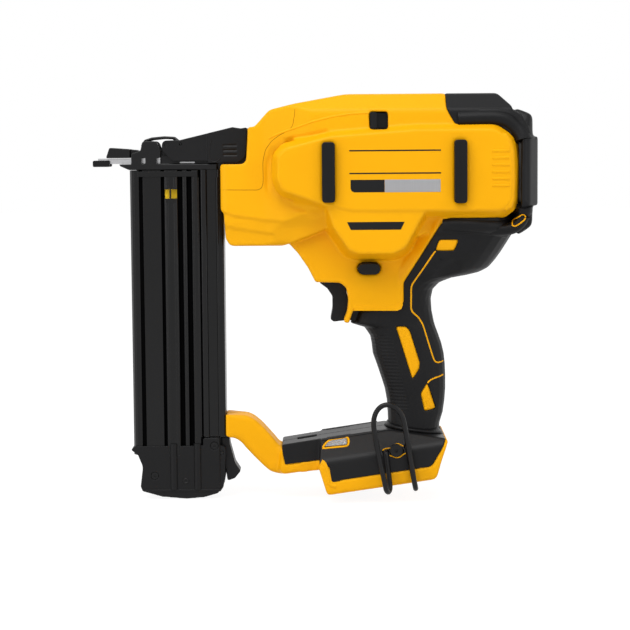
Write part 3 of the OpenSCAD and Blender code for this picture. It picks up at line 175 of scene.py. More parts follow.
# %% Lamps
lamps = [  # name, place, height that it is aimed at, size, watts
    ("overhead_softbox", (-0.25, -0.8, 1.5), 0.15, (1.4, 0.9), 18.0),
    ("left_softbox", (-1.25, -1.15, 0.6), 0.14, (0.35, 1.4), 5.6),
    ("right_fill", (1.3, -1.1, 0.5), 0.14, (0.35, 1.4), 4.0),
    ("back_rim", (0.5, 1.4, 0.9), 0.15, (1.2, 0.8), 2.0),
]
for name, place, aim_height, size, watts in lamps:
    data = bpy.data.lights.new(name, "AREA")
    data.shape = "RECTANGLE"
    data.size, data.size_y = size
    data.energy = watts
    lamp = add_object(name, data)
    lamp.location = place
    aim = Vector((0.0, 0.0, aim_height)) - Vector(place)
    lamp.rotation_euler = aim.to_track_quat("-Z", "Y").to_euler()
print("lamps:", len(lamps))

# %% [markdown]
# ## Three shared effects
# Every moulding on the tool has the fine spark-eroded grain of its mould and a slow drift in tone.
# Both come from noise on Object coordinates, so they stay with the piece. The second group draws
# that noise out into the lines of an extrusion. Each group puts out a height and a tone, and each
# material sets its own strength with its own Bump node. The third group adds the fine cross ribs
# that the rubber has where the fingers close round the front of the handle.

# %% Node groups
RIBS_FRONT, RIBS_LOW, RIBS_HIGH = (0.0795, 0.0765), (0.056, 0.062), (0.114, 0.108)  # fade from, to
HANDLE_LEAN = 0.25
RIB_SHARE, PIT_SHARE = 0.2, 0.14


def new_group(name, inputs):
    group = bpy.data.node_groups.new(name, "ShaderNodeTree")
    add_socket = group.interface.new_socket
    for socket, value in inputs:
        made = add_socket(name=socket, in_out="INPUT", socket_type="NodeSocketFloat")
        made.default_value = value
    for socket in ("Height", "Tone"):
        add_socket(name=socket, in_out="OUTPUT", socket_type="NodeSocketFloat")
    place = group.nodes.new("ShaderNodeTexCoord").outputs["Object"]
    return group, group.nodes.new("NodeGroupInput"), group.nodes.new("NodeGroupOutput"), place


def noise(tree, vector, scale, detail=2.0, roughness=0.5):
    made = tree.nodes.new("ShaderNodeTexNoise")
    made.inputs["Detail"].default_value = detail
    made.inputs["Roughness"].default_value = roughness
    tree.links.new(vector, made.inputs["Vector"])
    if isinstance(scale, float):
        made.inputs["Scale"].default_value = scale
    else:
        tree.links.new(scale, made.inputs["Scale"])
    return made.outputs["Fac"]


def maths(tree, operation, a, b):
    made = tree.nodes.new("ShaderNodeMath")
    made.operation = operation
    for value, socket in ((a, made.inputs[0]), (b, made.inputs[1])):
        if isinstance(value, float):
            socket.default_value = value
        else:
            tree.links.new(value, socket)
    return made.outputs[0]


def times(tree, a, b):
    return maths(tree, "MULTIPLY", a, b)


def blended(tree, a, share_a, b, share_b):
    return maths(tree, "ADD", times(tree, a, share_a), times(tree, b, share_b))


def fade(tree, value, start, end):
    made = tree.nodes.new("ShaderNodeMapRange")
    made.interpolation_type = "SMOOTHSTEP"
    made.inputs["From Min"].default_value = start
    made.inputs["From Max"].default_value = end
    tree.links.new(value, made.inputs["Value"])
    return made.outputs["Result"]


grain, grain_in, grain_out, place = new_group("mould_grain", [("Grain", 2600.0), ("Drift", 18.0)])
pits = noise(grain, place, grain_in.outputs["Grain"], 1.0)
drift = noise(grain, place, grain_in.outputs["Drift"], 3.0, 0.55)
scuff = noise(grain, place, 240.0, 4.0, 0.7)
grain.links.new(pits, grain_out.inputs["Height"])
grain.links.new(blended(grain, drift, 0.7, scuff, 0.3), grain_out.inputs["Tone"])

drawn, drawn_in, drawn_out, place = new_group("drawn_lines", [("Across", 2200.0), ("Along", 12.0)])
stretch = drawn.nodes.new("ShaderNodeCombineXYZ")
for axis, run in (("X", "Across"), ("Y", "Across"), ("Z", "Along")):
    drawn.links.new(drawn_in.outputs[run], stretch.inputs[axis])
pulled = drawn.nodes.new("ShaderNodeVectorMath")
pulled.operation = "MULTIPLY"
drawn.links.new(place, pulled.inputs[0])
drawn.links.new(stretch.outputs[0], pulled.inputs[1])
lines = noise(drawn, pulled.outputs[0], 1.0, 2.0)
cloud = noise(drawn, place, 35.0, 3.0)
drawn.links.new(lines, drawn_out.inputs["Height"])
drawn.links.new(blended(drawn, lines, 0.5, cloud, 0.5), drawn_out.inputs["Tone"])

ribbed, ribbed_in, ribbed_out, place = new_group("ribbed_grip",
                                                 [("Pitch", 2730.0), ("Grain", 1500.0)])
axes = ribbed.nodes.new("ShaderNodeSeparateXYZ")
ribbed.links.new(place, axes.inputs[0])
along, height = axes.outputs["X"], axes.outputs["Z"]
waves = maths(ribbed, "SINE", times(ribbed, height, ribbed_in.outputs["Pitch"]), 0.0)
lean = maths(ribbed, "ADD", along, times(ribbed, height, HANDLE_LEAN))
band = times(ribbed, fade(ribbed, lean, *RIBS_FRONT), fade(ribbed, height, *RIBS_LOW))
band = times(ribbed, band, fade(ribbed, height, *RIBS_HIGH))
pits = noise(ribbed, place, ribbed_in.outputs["Grain"], 1.0)
ribs = times(ribbed, waves, times(ribbed, band, RIB_SHARE))
rib_height = maths(ribbed, "ADD", ribs, times(ribbed, pits, PIT_SHARE))
ribbed.links.new(rib_height, ribbed_out.inputs["Height"])
ribbed.links.new(noise(ribbed, place, 60.0, 4.0, 0.6), ribbed_out.inputs["Tone"])
print("groups:", grain.name, drawn.name, ribbed.name)

# %% [markdown]
# ## Finishes
# One helper makes a finish from a group: two tones of the colour, two roughnesses and a bump depth
# in metres. The body is satin yellow nylon, the grip a softer black, the magazine a black anodised
# extrusion with lines along its length, and the inner pieces are plain steel, cast alloy, brass and
# copper.

# %% Finishes
def finish(name, dark, light, rough, depth, group=grain, metallic=0.0, specular=0.5, **sizes):
    look = bpy.data.materials.new(name)
    look.use_nodes = True
    tree = look.node_tree
    shader = tree.nodes["Principled BSDF"]
    shader.inputs["Metallic"].default_value = metallic
    shader.inputs["Specular IOR Level"].default_value = specular
    effect = tree.nodes.new("ShaderNodeGroup")
    effect.node_tree = group
    for socket, value in sizes.items():
        effect.inputs[socket].default_value = value
    tint = tree.nodes.new("ShaderNodeMix")
    tint.data_type = "RGBA"
    tint.inputs["A"].default_value = (*dark, 1.0)
    tint.inputs["B"].default_value = (*light, 1.0)
    tree.links.new(effect.outputs["Tone"], tint.inputs["Factor"])
    tree.links.new(tint.outputs["Result"], shader.inputs["Base Color"])
    gloss = tree.nodes.new("ShaderNodeMapRange")
    gloss.inputs["To Min"].default_value, gloss.inputs["To Max"].default_value = rough
    tree.links.new(effect.outputs["Tone"], gloss.inputs["Value"])
    tree.links.new(gloss.outputs["Result"], shader.inputs["Roughness"])
    bump = tree.nodes.new("ShaderNodeBump")
    bump.inputs["Strength"].default_value = 1.0
    bump.inputs["Distance"].default_value = depth
    tree.links.new(effect.outputs["Height"], bump.inputs["Height"])
    tree.links.new(bump.outputs["Normal"], shader.inputs["Normal"])
    return look


looks = {
    "yellow_plastic": finish("satin_yellow", (0.85, 0.38, 0.0006), (0.92, 0.435, 0.001),
                             (0.4, 0.5), 2.0e-5, specular=0.13),
    "black_plastic": finish("satin_black", (0.003, 0.003, 0.0034), (0.008, 0.008, 0.0087),
                            (0.34, 0.46), 3.0e-5, specular=0.19),
    "black_rubber": finish("soft_rubber", (0.0028, 0.0028, 0.0032), (0.006, 0.006, 0.0066),
                           (0.38, 0.5), 5.0e-5, specular=0.18, Grain=1500.0),
    "dark_metal": finish("black_coated_steel", (0.002, 0.002, 0.0023), (0.006, 0.006, 0.0066),
                         (0.26, 0.38), 2.0e-5, specular=0.24, Grain=1800.0),
    "black_aluminium": finish("black_anodised", (0.0012, 0.0012, 0.0014), (0.004, 0.004, 0.0044),
                              (0.2, 0.3), 1.0e-5, group=drawn, specular=0.25),
    "aluminium": finish("cast_alloy", (0.5, 0.51, 0.52), (0.66, 0.67, 0.68),
                        (0.34, 0.5), 6.0e-5, metallic=1.0, Grain=900.0),
    "steel": finish("ground_steel", (0.42, 0.42, 0.43), (0.6, 0.6, 0.61),
                    (0.24, 0.38), 8.0e-6, group=drawn, metallic=1.0),
    "copper": finish("enamelled_copper", (0.5, 0.2, 0.07), (0.66, 0.3, 0.12),
                     (0.3, 0.42), 2.0e-5, metallic=0.8),
    "brass": finish("turned_brass", (0.55, 0.38, 0.14), (0.68, 0.5, 0.2),
                    (0.26, 0.38), 1.0e-5, metallic=1.0),
    "board": finish("solder_mask", (0.02, 0.12, 0.05), (0.03, 0.17, 0.07), (0.3, 0.4), 2.0e-5),
    "smoked_plastic": finish("smoked_window", (0.003, 0.003, 0.0035), (0.006, 0.006, 0.007),
                             (0.34, 0.44), 4.0e-6, specular=0.12),
    "lens": finish("clear_lens", (0.8, 0.83, 0.87), (0.92, 0.94, 0.96), (0.08, 0.16), 4.0e-6),
}
lens_shader = looks["lens"].node_tree.nodes["Principled BSDF"]
lens_shader.inputs["Transmission Weight"].default_value = 0.75
lens_shader.inputs["IOR"].default_value = 1.49
ribbed_rubber = finish("ribbed_rubber", (0.0045, 0.0045, 0.005), (0.0085, 0.0085, 0.0092),
                       (0.42, 0.54), 4.0e-4, group=ribbed, specular=0.16)
lamp_board = finish("lamp_board", (0.1, 0.115, 0.14), (0.5, 0.53, 0.58),
                    (0.3, 0.5), 6.0e-5, Grain=420.0, Drift=260.0)
# Painted shade: a darker amber yellow for the front seam's bead, standing in for the shade in its
# groove.
seam_shade = finish("seam_shade", (0.36, 0.15, 0.0015), (0.44, 0.19, 0.002),
                    (0.6, 0.7), 1.0e-5, specular=0.1)
grey_foil = finish("grey_foil", (0.3, 0.3, 0.31), (0.38, 0.38, 0.39),
                   (0.35, 0.45), 4.0e-6, group=drawn, specular=0.3)
signal_yellow = finish("signal_yellow", (0.96, 0.58, 0.01), (1.0, 0.66, 0.02),
                       (0.35, 0.45), 1.0e-5, specular=0.2)
# Painted shade for the floors and walls of the magazine's channels: near black, with almost no
# sheen.
channel_black = finish("channel_black", (0.0006, 0.0006, 0.0007), (0.001, 0.001, 0.0011),
                       (0.6, 0.7), 1.0e-5, group=drawn, specular=0.02)
special = {"left_grip": ribbed_rubber, "right_grip": ribbed_rubber, "light_board": lamp_board,
           "pusher": signal_yellow}
for coated in ("latch_pin", "door_pin", "latch_bail", "magazine_latch_pin"):
    special[coated] = looks["dark_metal"]
for name, node in nodes.items():
    node.data.materials.clear()
    node.data.materials.append(special.get(name, looks[slot_of_node[name]]))
print("finishes:", len(looks))

# %% [markdown]
# ## Mouldings with soft edges
# A solid from CAD meets itself at knife edges, while a mould leaves a radius everywhere. The copy
# of each moulding is wrapped in a fine voxel skin, relaxed for a few rounds, and thinned again.
# That rounds outer edges and fills inner corners alike, which a bevel can't do on faces cut this
# freely.

# %% Soft-edged copies
def baked(piece):
    depsgraph = bpy.context.evaluated_depsgraph_get()
    mesh = bpy.data.meshes.new_from_object(piece.evaluated_get(depsgraph))
    piece.modifiers.clear()
    old = piece.data
    piece.data = mesh
    bpy.data.meshes.remove(old)


def settle(piece, body, slot, look=None):
    piece.data.materials.clear()
    piece.data.materials.append(look or looks[slot])
    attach(piece, body)
    return piece


def stands_for(piece, node):
    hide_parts(node)
    return settle(piece, body_of_node[node], slot_of_node[node], special.get(node))


def copy_of(node, name):
    bm = bmesh.new()
    bm.from_mesh(nodes[node].data)
    bmesh.ops.remove_doubles(bm, verts=bm.verts, dist=1e-6)
    return add_object(name, mesh_of(bm, name))


def moulded(node, voxel, rounds, most):
    piece = copy_of(node, node + "_moulded")
    skin = piece.modifiers.new("voxel_skin", "REMESH")
    skin.mode = "VOXEL"
    skin.voxel_size = voxel * MM
    relax = piece.modifiers.new("relax", "SMOOTH")
    relax.factor = 0.5
    relax.iterations = rounds
    baked(piece)
    faces = 2 * len(piece.data.polygons)
    if faces > most:
        thin = piece.modifiers.new("thin", "DECIMATE")
        thin.ratio = most / faces
        baked(piece)
    piece.data.shade_smooth()
    return stands_for(piece, node)


pieces = {}
mouldings = [  # node, voxel size, rounds of relaxing, most triangles
    ("left_housing", 0.9, 5, 150000), ("right_housing", 0.9, 5, 110000),
    ("left_grip", 0.6, 3, 70000), ("right_grip", 0.6, 3, 50000),
    ("left_foot_cover", 0.6, 3, 40000), ("right_foot_cover", 0.6, 3, 30000),
    ("rear_cap", 0.6, 12, 40000), ("top_bumper", 0.6, 6, 40000), ("side_pads", 0.4, 3, 24000),
    ("trigger", 0.4, 4, 16000), ("lock_off_button", 0.4, 4, 10000), ("end_cap", 0.5, 2, 40000),
    ("latch_lever", 0.35, 2, 40000), ("magazine_latch", 0.4, 3, 12000),
    ("nose_block", 0.35, 2, 40000), ("nose_door", 0.35, 2, 24000),
    ("no_mar_pad", 0.25, 2, 12000), ("stall_release", 0.25, 2, 8000),
]
for node, voxel, rounds, most in mouldings:
    pieces[node] = moulded(node, voxel, rounds, most)
    print(node, len(pieces[node].data.polygons), "faces")

# %% [markdown]
# ## Strokes of the mould maker
# Where CAD leaves a corner, a mould maker blends one form into the next. Three strokes work on the
# soft copies: `relaxed` rubs a region smooth, `scored` draws a valley along a line of the side
# view, and `drafted` leans a side inwards towards its lower edge. They thin the chin, soften the
# arm, the knob and the corners of the rear cap, press a hollow for the thumb and cut the panel's
# groove. Points near the parting plane keep their place, so that the two halves still meet.

# %% Strokes
PARTING_BAND = 4.0  # points nearer to the parting plane stay where they are
FACING_OUT = 0.2  # the least share of a point's normal along Y for it to be scored
DRAFT_BLEND = 8.0  # the length over which the lean comes in
panel_groove = [(8.0, 244.6), (-15.2, 240.2), (-26.0, 233.6), (-30.0, 224.6), (-30.2, 208.6),
                (-25.6, 201.2), (2.4, 192.0)]
thumb_hollow = [(84.0, 154.0), (92.0, 157.4)]


def edited(piece, change):
    bm = bmesh.new()
    bm.from_mesh(piece.data)
    result = change(bm)
    bm.to_mesh(piece.data)
    bm.free()
    return result


def worked(node, side, low, high, stroke):
    def change(bm):
        near = [v for v in bm.verts
                if low[0] * MM < v.co.x < high[0] * MM and low[1] * MM < v.co.z < high[1] * MM
                and v.co.y * side > PARTING_BAND * MM]
        stroke(bm, near)
        return len(near)
    return edited(pieces[node], change)


def relaxed(node, side, low, high, rounds):
    def stroke(bm, near):
        for _ in range(rounds):
            bmesh.ops.smooth_vert(bm, verts=near, factor=0.5, use_axis_x=True, use_axis_y=True,
                                  use_axis_z=True)
    return worked(node, side, low, high, stroke)


def away_from(line, x, z):
    best = math.inf
    for (x0, z0), (x1, z1) in zip(line, line[1:]):
        dx, dz = x1 - x0, z1 - z0
        t = max(0.0, min(1.0, ((x - x0) * dx + (z - z0) * dz) / (dx * dx + dz * dz)))
        best = min(best, math.hypot(x - x0 - t * dx, z - z0 - t * dz))
    return best


def scored(node, side, line, width, depth):
    def stroke(bm, near):
        for v in near:
            share = away_from(line, v.co.x / MM, v.co.z / MM) / width
            if share < 1.0 and v.normal.y * side > FACING_OUT:
                v.co.y -= side * depth * MM * (0.5 + 0.5 * math.cos(math.pi * share))
    across, up = zip(*line)
    low = (min(across) - width, min(up) - width)
    high = (max(across) + width, max(up) + width)
    return worked(node, side, low, high, stroke)


def drafted(node, side, low, high, lean):
    def stroke(bm, near):
        for v in near:
            share = min(1.0, (high[0] - v.co.x / MM) / DRAFT_BLEND)
            v.co.y -= side * lean * share * (high[1] * MM - v.co.z)
    return worked(node, side, low, high, stroke)


for hand, side in sides:
    shell, grip = hand + "_housing", hand + "_grip"
    moved = drafted(shell, side, (-64.0, 170.0), (-12.0, 187.0), lean=0.14)
    moved += relaxed(shell, side, (-57.0, 13.0), (-10.0, 60.0), rounds=24)
    moved += relaxed(grip, side, (85.0, 145.0), (127.0, 165.0), rounds=20)
    moved += scored(grip, side, thumb_hollow, width=7.0, depth=2.0)
    moved += relaxed("rear_cap", side, (122.0, 222.0), (146.0, 263.0), rounds=30)
    moved += relaxed("rear_cap", side, (122.0, 172.0), (146.0, 193.0), rounds=30)
    moved += scored(shell, side, panel_groove, width=3.4, depth=1.4)
    print(hand, "points moved by the strokes:", moved)

# %% [markdown]
# ## Bent wire
# The belt hook and the latch's bail are round spring wire under a black coating. The hook's bends
# are a few points, the corners between them are cut away three times over, as a wire bender eases
# them, and a circle is swept along what is left. The small bail keeps its solid's path: its copy is
# merged and subdivided, which draws its sides in, and pushed out again by the coating's thickness.

# %% Wires
HOOK_NEAR, HOOK_FAR = -37.2, -44.2  # the two planes of the hook's strands
HOOK_RADIUS = 1.75
COATING = 0.1


def eased(points, rounds=3):
    for _ in range(rounds):
        cut = [points[0]]
        for a, b in zip(points, points[1:]):
            cut += [a.lerp(b, 0.25), a.lerp(b, 0.75)]
        points = cut + [points[-1]]
    return points


def swept(name, path, radius, closed=False):
    curve = bpy.data.curves.new(name, "CURVE")
    curve.dimensions = "3D"
    curve.bevel_depth = radius * MM
    curve.bevel_resolution = 3
    curve.use_fill_caps = True
    line = curve.splines.new("POLY")
    line.points.add(len(path) - 1)
    for point, spot in zip(line.points, path):
        point.co = (*spot, 1.0)
    line.use_cyclic_u = closed
    route = add_object(name + "_path", curve)
    depsgraph = bpy.context.evaluated_depsgraph_get()
    mesh = bpy.data.meshes.new_from_object(route.evaluated_get(depsgraph))
    bpy.data.objects.remove(route)
    mesh.shade_smooth()
    return add_object(name, mesh)


hook_bends = [
    (46.2, -29.0, 34.5), (46.2, -35.0, 34.5), (46.3, HOOK_NEAR, 33.6), (46.8, HOOK_NEAR, 29.0),
    (48.5, HOOK_NEAR - 0.2, 15.0), (48.9, -37.8, 10.6), (47.6, -40.7, 8.3), (45.9, -43.6, 10.6),
    (45.2, HOOK_FAR, 15.0), (41.2, HOOK_FAR, 33.0), (38.1, HOOK_FAR, 51.0), (37.8, HOOK_FAR, 56.0),
    (38.5, HOOK_FAR, 60.2), (40.4, HOOK_FAR, 64.0), (43.2, HOOK_FAR, 66.6), (46.8, HOOK_FAR, 67.5),
    (50.6, HOOK_FAR, 66.6), (54.0, HOOK_FAR, 64.0), (56.6, HOOK_FAR, 60.0), (57.9, HOOK_FAR, 55.4),
    (61.8, HOOK_FAR, 32.7), (64.3, HOOK_FAR, 16.6), (65.2, -43.6, 12.4), (65.6, -40.7, 10.6),
    (65.4, -37.9, 12.6), (64.4, HOOK_NEAR, 17.0), (60.9, HOOK_NEAR, 35.0), (60.5, HOOK_NEAR, 37.0),
    (60.5, -35.0, 37.5), (60.5, -29.0, 37.5),
]
hook = swept("belt_hook_wire", eased([Vector(bend) * MM for bend in hook_bends]), HOOK_RADIUS)
stands_for(hook, "belt_hook")
bail = copy_of("latch_bail", "latch_bail_wire")
rounder = bail.modifiers.new("rounder", "SUBSURF")
rounder.levels = rounder.render_levels = 2
coat = bail.modifiers.new("coat", "DISPLACE")
coat.strength = COATING * MM
coat.mid_level = 0.0
baked(bail)
bail.data.shade_smooth()
stands_for(bail, "latch_bail")
print("hook and bail:", len(hook.data.polygons), len(bail.data.polygons), "faces")

# %% [markdown]
# ## Lines that follow a moulding
# Seams, ribs and the thin coloured inlay on the grip all follow a curved surface. Each line is
# drawn in the side view as a few points. A ray along Y finds the moulding under each step of the
# line, and a round bead is swept along the hits. How far it is sunk decides whether it reads as a
# fine inlay or as a soft rib. One drawing serves both sides, with Y turned round.

# %% Beads on a surface
RAY_START = 200.0  # well outside the tool, so that a ray meets its outer face first


def skin_of(*names):
    bm = bmesh.new()
    for name in names:
        bm.from_mesh((pieces[name] if name in pieces else nodes[name]).data)
    tree = BVHTree.FromBMesh(bm)
    bm.free()
    return tree


def hit(skin, side, x, z):
    start = Vector((x * MM, side * RAY_START * MM, z * MM))
    spot, normal, _, _ = skin.ray_cast(start, Vector((0.0, -side, 0.0)))
    return spot, normal


def steps_along(points, step, closed):
    ends = points[1:] + (points[:1] if closed else [])
    for (x0, z0), (x1, z1) in zip(points, ends):
        count = max(1, round(math.hypot(x1 - x0, z1 - z0) / step))
        for k in range(count):
            yield x0 + (x1 - x0) * k / count, z0 + (z1 - z0) * k / count
    if not closed:
        yield points[-1]


def laid(points, side, skin, step, closed, sink, rounds):
    hits = []
    for x, z in steps_along(points, step, closed):
        spot, normal = hit(skin, side, x, z)
        if spot is not None:
            hits.append(spot - normal * sink * MM)
    for _ in range(rounds):
        middle = [(a + b * 2.0 + c) / 4.0 for a, b, c in zip(hits, hits[1:], hits[2:])]
        hits = [hits[0]] + middle + [hits[-1]]
    return hits


def bead(name, body, slot, points, side, skin, radius, sink, closed=False, look=None, step=1.2,
         rounds=2):
    line = swept(name, laid(points, side, skin, step, closed, sink, rounds), radius, closed)
    return settle(line, body, slot, look)


grip_inlay = [(79.6, 167.4), (78.5, 166.1), (64.4, 144.4), (64.0, 142.0), (64.0, 127.6),
              (64.8, 126.0), (69.2, 122.1), (72.0, 117.4), (78.9, 94.9), (79.8, 92.6), (81.4, 91.5),
              (83.2, 91.4), (85.8, 92.1)]
grip_inlay_low = [(85.8, 82.9), (78.4, 80.8), (76.2, 79.6), (74.9, 77.9)]
front_seam = [(-11.9, 263.2), (-12.4, 256.6), (-13.7, 249.5), (-17.0, 246.6), (-22.5, 243.8),
              (-27.6, 240.1), (-31.8, 234.3), (-33.5, 226.8), (-33.4, 213.5), (-34.0, 209.8),
              (-36.2, 208.1), (-60.0, 208.3)]
shoulder_rib = [(-29.4, 241.9), (-24.0, 244.4), (-15.2, 247.5), (0.0, 252.6), (12.0, 255.6),
                (23.0, 257.2), (40.0, 258.2)]
knob_crease = [(85.0, 180.9), (95.0, 180.0), (108.0, 178.8), (120.0, 177.2), (127.0, 175.6)]
for hand, side in sides:
    rubber, shell = skin_of(hand + "_grip"), skin_of(hand + "_housing")
    bead(hand + "_grip_inlay", tool, "yellow_plastic", grip_inlay, side, rubber,
         radius=0.62, sink=0.25)
    bead(hand + "_grip_inlay_low", tool, "yellow_plastic", grip_inlay_low, side, rubber,
         radius=0.62, sink=0.25)
    # The front seam's bead is coloured with the painted shade of a groove.
    bead(hand + "_front_seam", tool, "yellow_plastic", front_seam, side, shell,
         radius=0.24, sink=0.12, look=seam_shade)
    bead(hand + "_shoulder_rib", tool, "yellow_plastic", shoulder_rib, side, shell,
         radius=1.1, sink=0.75)
    bead(hand + "_knob_crease", tool, "black_rubber", knob_crease, side, rubber,
         radius=1.1, sink=0.75)
    print(hand, "inlays, seam, rib and crease laid")

# %% [markdown]
# ## Trim on the side panel
# The flat of the panel carries printed trim: two fine lines, a two-tone strip and a dark tapered
# bar. Printed foil is a film with a rounded edge, so each is a closed outline that is extruded
# through the panel's surface and bevelled by less than a tenth of a millimetre. The panel's rounded
# rear end, its six short ribs for the hand and the web behind the trigger are made the same way,
# with a larger bevel.

# %% Panel trim
foil = {"proud": 0.12, "edge": 0.08}
HAND_RIBS, RIB_PITCH, RIB_FIRST = 6, 4.5, 210.2
RIB_HALF, RIB_ROUND = 0.9, 0.88


def plate(name, body, slot, outline, side, face, proud, edge, look=None, depth=0.5):
    bm = bmesh.new()
    base_y, rise = side * (face - depth) * MM, side * (depth + proud) * MM
    corners = [bm.verts.new((x * MM, base_y, z * MM)) for x, z in outline]
    base = bm.faces.new(corners)
    lifted = bmesh.ops.extrude_face_region(bm, geom=[base])
    top = [v for v in lifted["geom"] if isinstance(v, bmesh.types.BMVert)]
    bmesh.ops.translate(bm, verts=top, vec=(0.0, rise, 0.0))
    bmesh.ops.recalc_face_normals(bm, faces=bm.faces)
    rim = [e for e in bm.edges if all(v in top for v in e.verts)]
    bmesh.ops.bevel(bm, geom=rim, offset=edge * MM, offset_type="OFFSET", segments=3, profile=0.5,
                    affect="EDGES", material=-1)
    return settle(add_object(name, mesh_of(bm, name)), body, slot, look)


def bar(x0, z0, x1, z1):
    return [(x0, z0), (x1, z0), (x1, z1), (x0, z1)]


def tablet(x0, z0, x1, z1, radius, steps=5):
    corners = []
    for cx, cz, start in ((x1 - radius, z1 - radius, 0), (x0 + radius, z1 - radius, 90),
                          (x0 + radius, z0 + radius, 180), (x1 - radius, z0 + radius, 270)):
        for k in range(steps + 1):
            turn = math.radians(start + 90.0 * k / steps)
            corners.append((cx + radius * math.cos(turn), cz + radius * math.sin(turn)))
    return corners


def face_under(skin, side, x, z):
    return abs(hit(skin, side, x, z)[0].y) / MM


strip_dark = [(45.8, 206.4), (45.8, 214.5), (23.7, 214.5), (23.7, 209.0), (24.4, 207.2),
              (26.2, 206.4)]
tapered_bar = [(23.8, 182.0), (56.3, 182.0), (58.8, 187.1), (21.3, 187.1)]
panel_end = [(118.0, 195.6), (125.0, 193.4), (128.8, 195.4), (130.6, 200.0), (131.2, 214.0),
             (130.6, 232.0), (128.8, 239.4), (125.4, 243.8), (118.0, 246.0)]
finger_web = [(22.6, 120.4), (30.0, 119.0), (32.0, 129.4), (25.8, 129.4)]
for hand, side in sides:
    shell = skin_of(hand + "_housing")
    panel = face_under(shell, side, 52.0, 226.0)
    tongue = face_under(shell, side, 40.0, 184.5)
    plate(hand + "_line_high", tool, "black_plastic", bar(23.0, 232.9, 82.4, 233.8), side, panel,
          **foil)
    plate(hand + "_line_low", tool, "black_plastic", bar(23.0, 218.2, 82.4, 219.1), side, panel,
          **foil)
    plate(hand + "_strip_dark", tool, "black_plastic", strip_dark, side, panel, **foil)
    plate(hand + "_strip_grey", tool, "aluminium", bar(45.9, 206.4, 82.1, 214.5), side, panel,
          look=grey_foil, **foil)
    plate(hand + "_tapered_bar", tool, "black_plastic", tapered_bar, side, tongue, **foil)
    for k in range(HAND_RIBS):
        z = RIB_FIRST + RIB_PITCH * k
        rib = tablet(115.5, z - RIB_HALF, 127.0, z + RIB_HALF, RIB_ROUND)
        plate("%s_hand_rib_%d" % (hand, k + 1), tool, "yellow_plastic", rib, side,
              face_under(shell, side, 119.0, z), proud=0.4, edge=0.38)
    plate(hand + "_panel_end", tool, "yellow_plastic", panel_end, side, panel - 0.4,
          proud=0.0, edge=2.6, depth=6.0)
    plate(hand + "_finger_web", tool, "black_rubber", finger_web, side, 12.0,
          proud=0.3, edge=0.3, depth=2.4)
    print(hand, "panel face at", round(panel, 2), "mm, tongue at", round(tongue, 2), "mm")

# %% [markdown]
# ## Small edges on the foot, cheek and lever
# A thin yellow edge frames each lamp lens and both lips of the belt-hook slot, and a rounded yellow
# rim runs up the foot's front corner. These are the same beads, laid on the foot. Rods round its
# upper edge, and plates make the black patch behind the rim, the cheek's lower edge and the
# magazine's collar. The thumb pad of the latch lever is framed by a fine dark line, and the
# indicator window sits a little down in its slot. The lamp board is cut level with the foot's top,
# and a black lintel closes the pocket.

# %% Foot, cheek and lever edges
WINDOW_DROP = 1.6
FOOT_TOP, FOOT_TOP_NORMAL = (13.2, 0.0, 42.3), (-0.143, 0.0, 0.99)
MAGAZINE_HALF = 12.0


def rod(name, body, slot, side, y, ends, radius):
    path = [Vector((x, side * y, z)) * MM for x, z in ends]
    return settle(swept(name, path, radius), body, slot)


def sunk(bm):
    bmesh.ops.translate(bm, verts=bm.verts, vec=(0.0, 0.0, -WINDOW_DROP * MM))


def trimmed(bm):
    bmesh.ops.bisect_plane(bm, geom=bm.verts[:] + bm.edges[:] + bm.faces[:], clear_outer=True,
                           plane_co=Vector(FOOT_TOP) * MM, plane_no=FOOT_TOP_NORMAL)
    bmesh.ops.holes_fill(bm, edges=[e for e in bm.edges if e.is_boundary])


lens_frame = [(4.6, 36.0), (4.4, 37.0), (8.4, 40.6), (9.6, 41.1), (21.2, 42.8), (21.9, 42.2),
              (21.7, 38.2), (21.0, 37.6)]
hook_slot_high = [(44.0, 35.2), (45.2, 36.3), (50.9, 36.8), (52.0, 38.9), (54.9, 39.7),
                  (56.6, 38.2), (59.4, 37.7)]
hook_slot_low = [(48.6, 32.3), (50.9, 31.7), (53.1, 30.5), (56.0, 31.3), (57.7, 33.1), (60.0, 33.9)]
foot_rim = [(3.4, 28.3), (4.8, 27.9), (6.0, 26.8), (6.8, 24.8), (7.6, 20.0), (8.5, 14.6),
            (9.6, 12.2), (13.0, 11.8)]
foot_patch = [(8.8, 25.0), (9.4, 20.0), (10.2, 15.4), (11.4, 14.7), (15.8, 15.5), (15.8, 18.0),
              (12.6, 20.5), (10.8, 25.4)]
cheek_edge = [(25.4, 127.4), (54.8, 127.2), (57.4, 128.4), (58.4, 131.0), (58.0, 134.0),
              (54.0, 131.0), (27.2, 131.0)]
thumb_pad = [(-67.9, 241.0), (-69.4, 236.0), (-69.6, 229.4), (-68.4, 227.0), (-64.8, 225.9),
             (-62.2, 228.9)]
lever = skin_of("latch_lever")
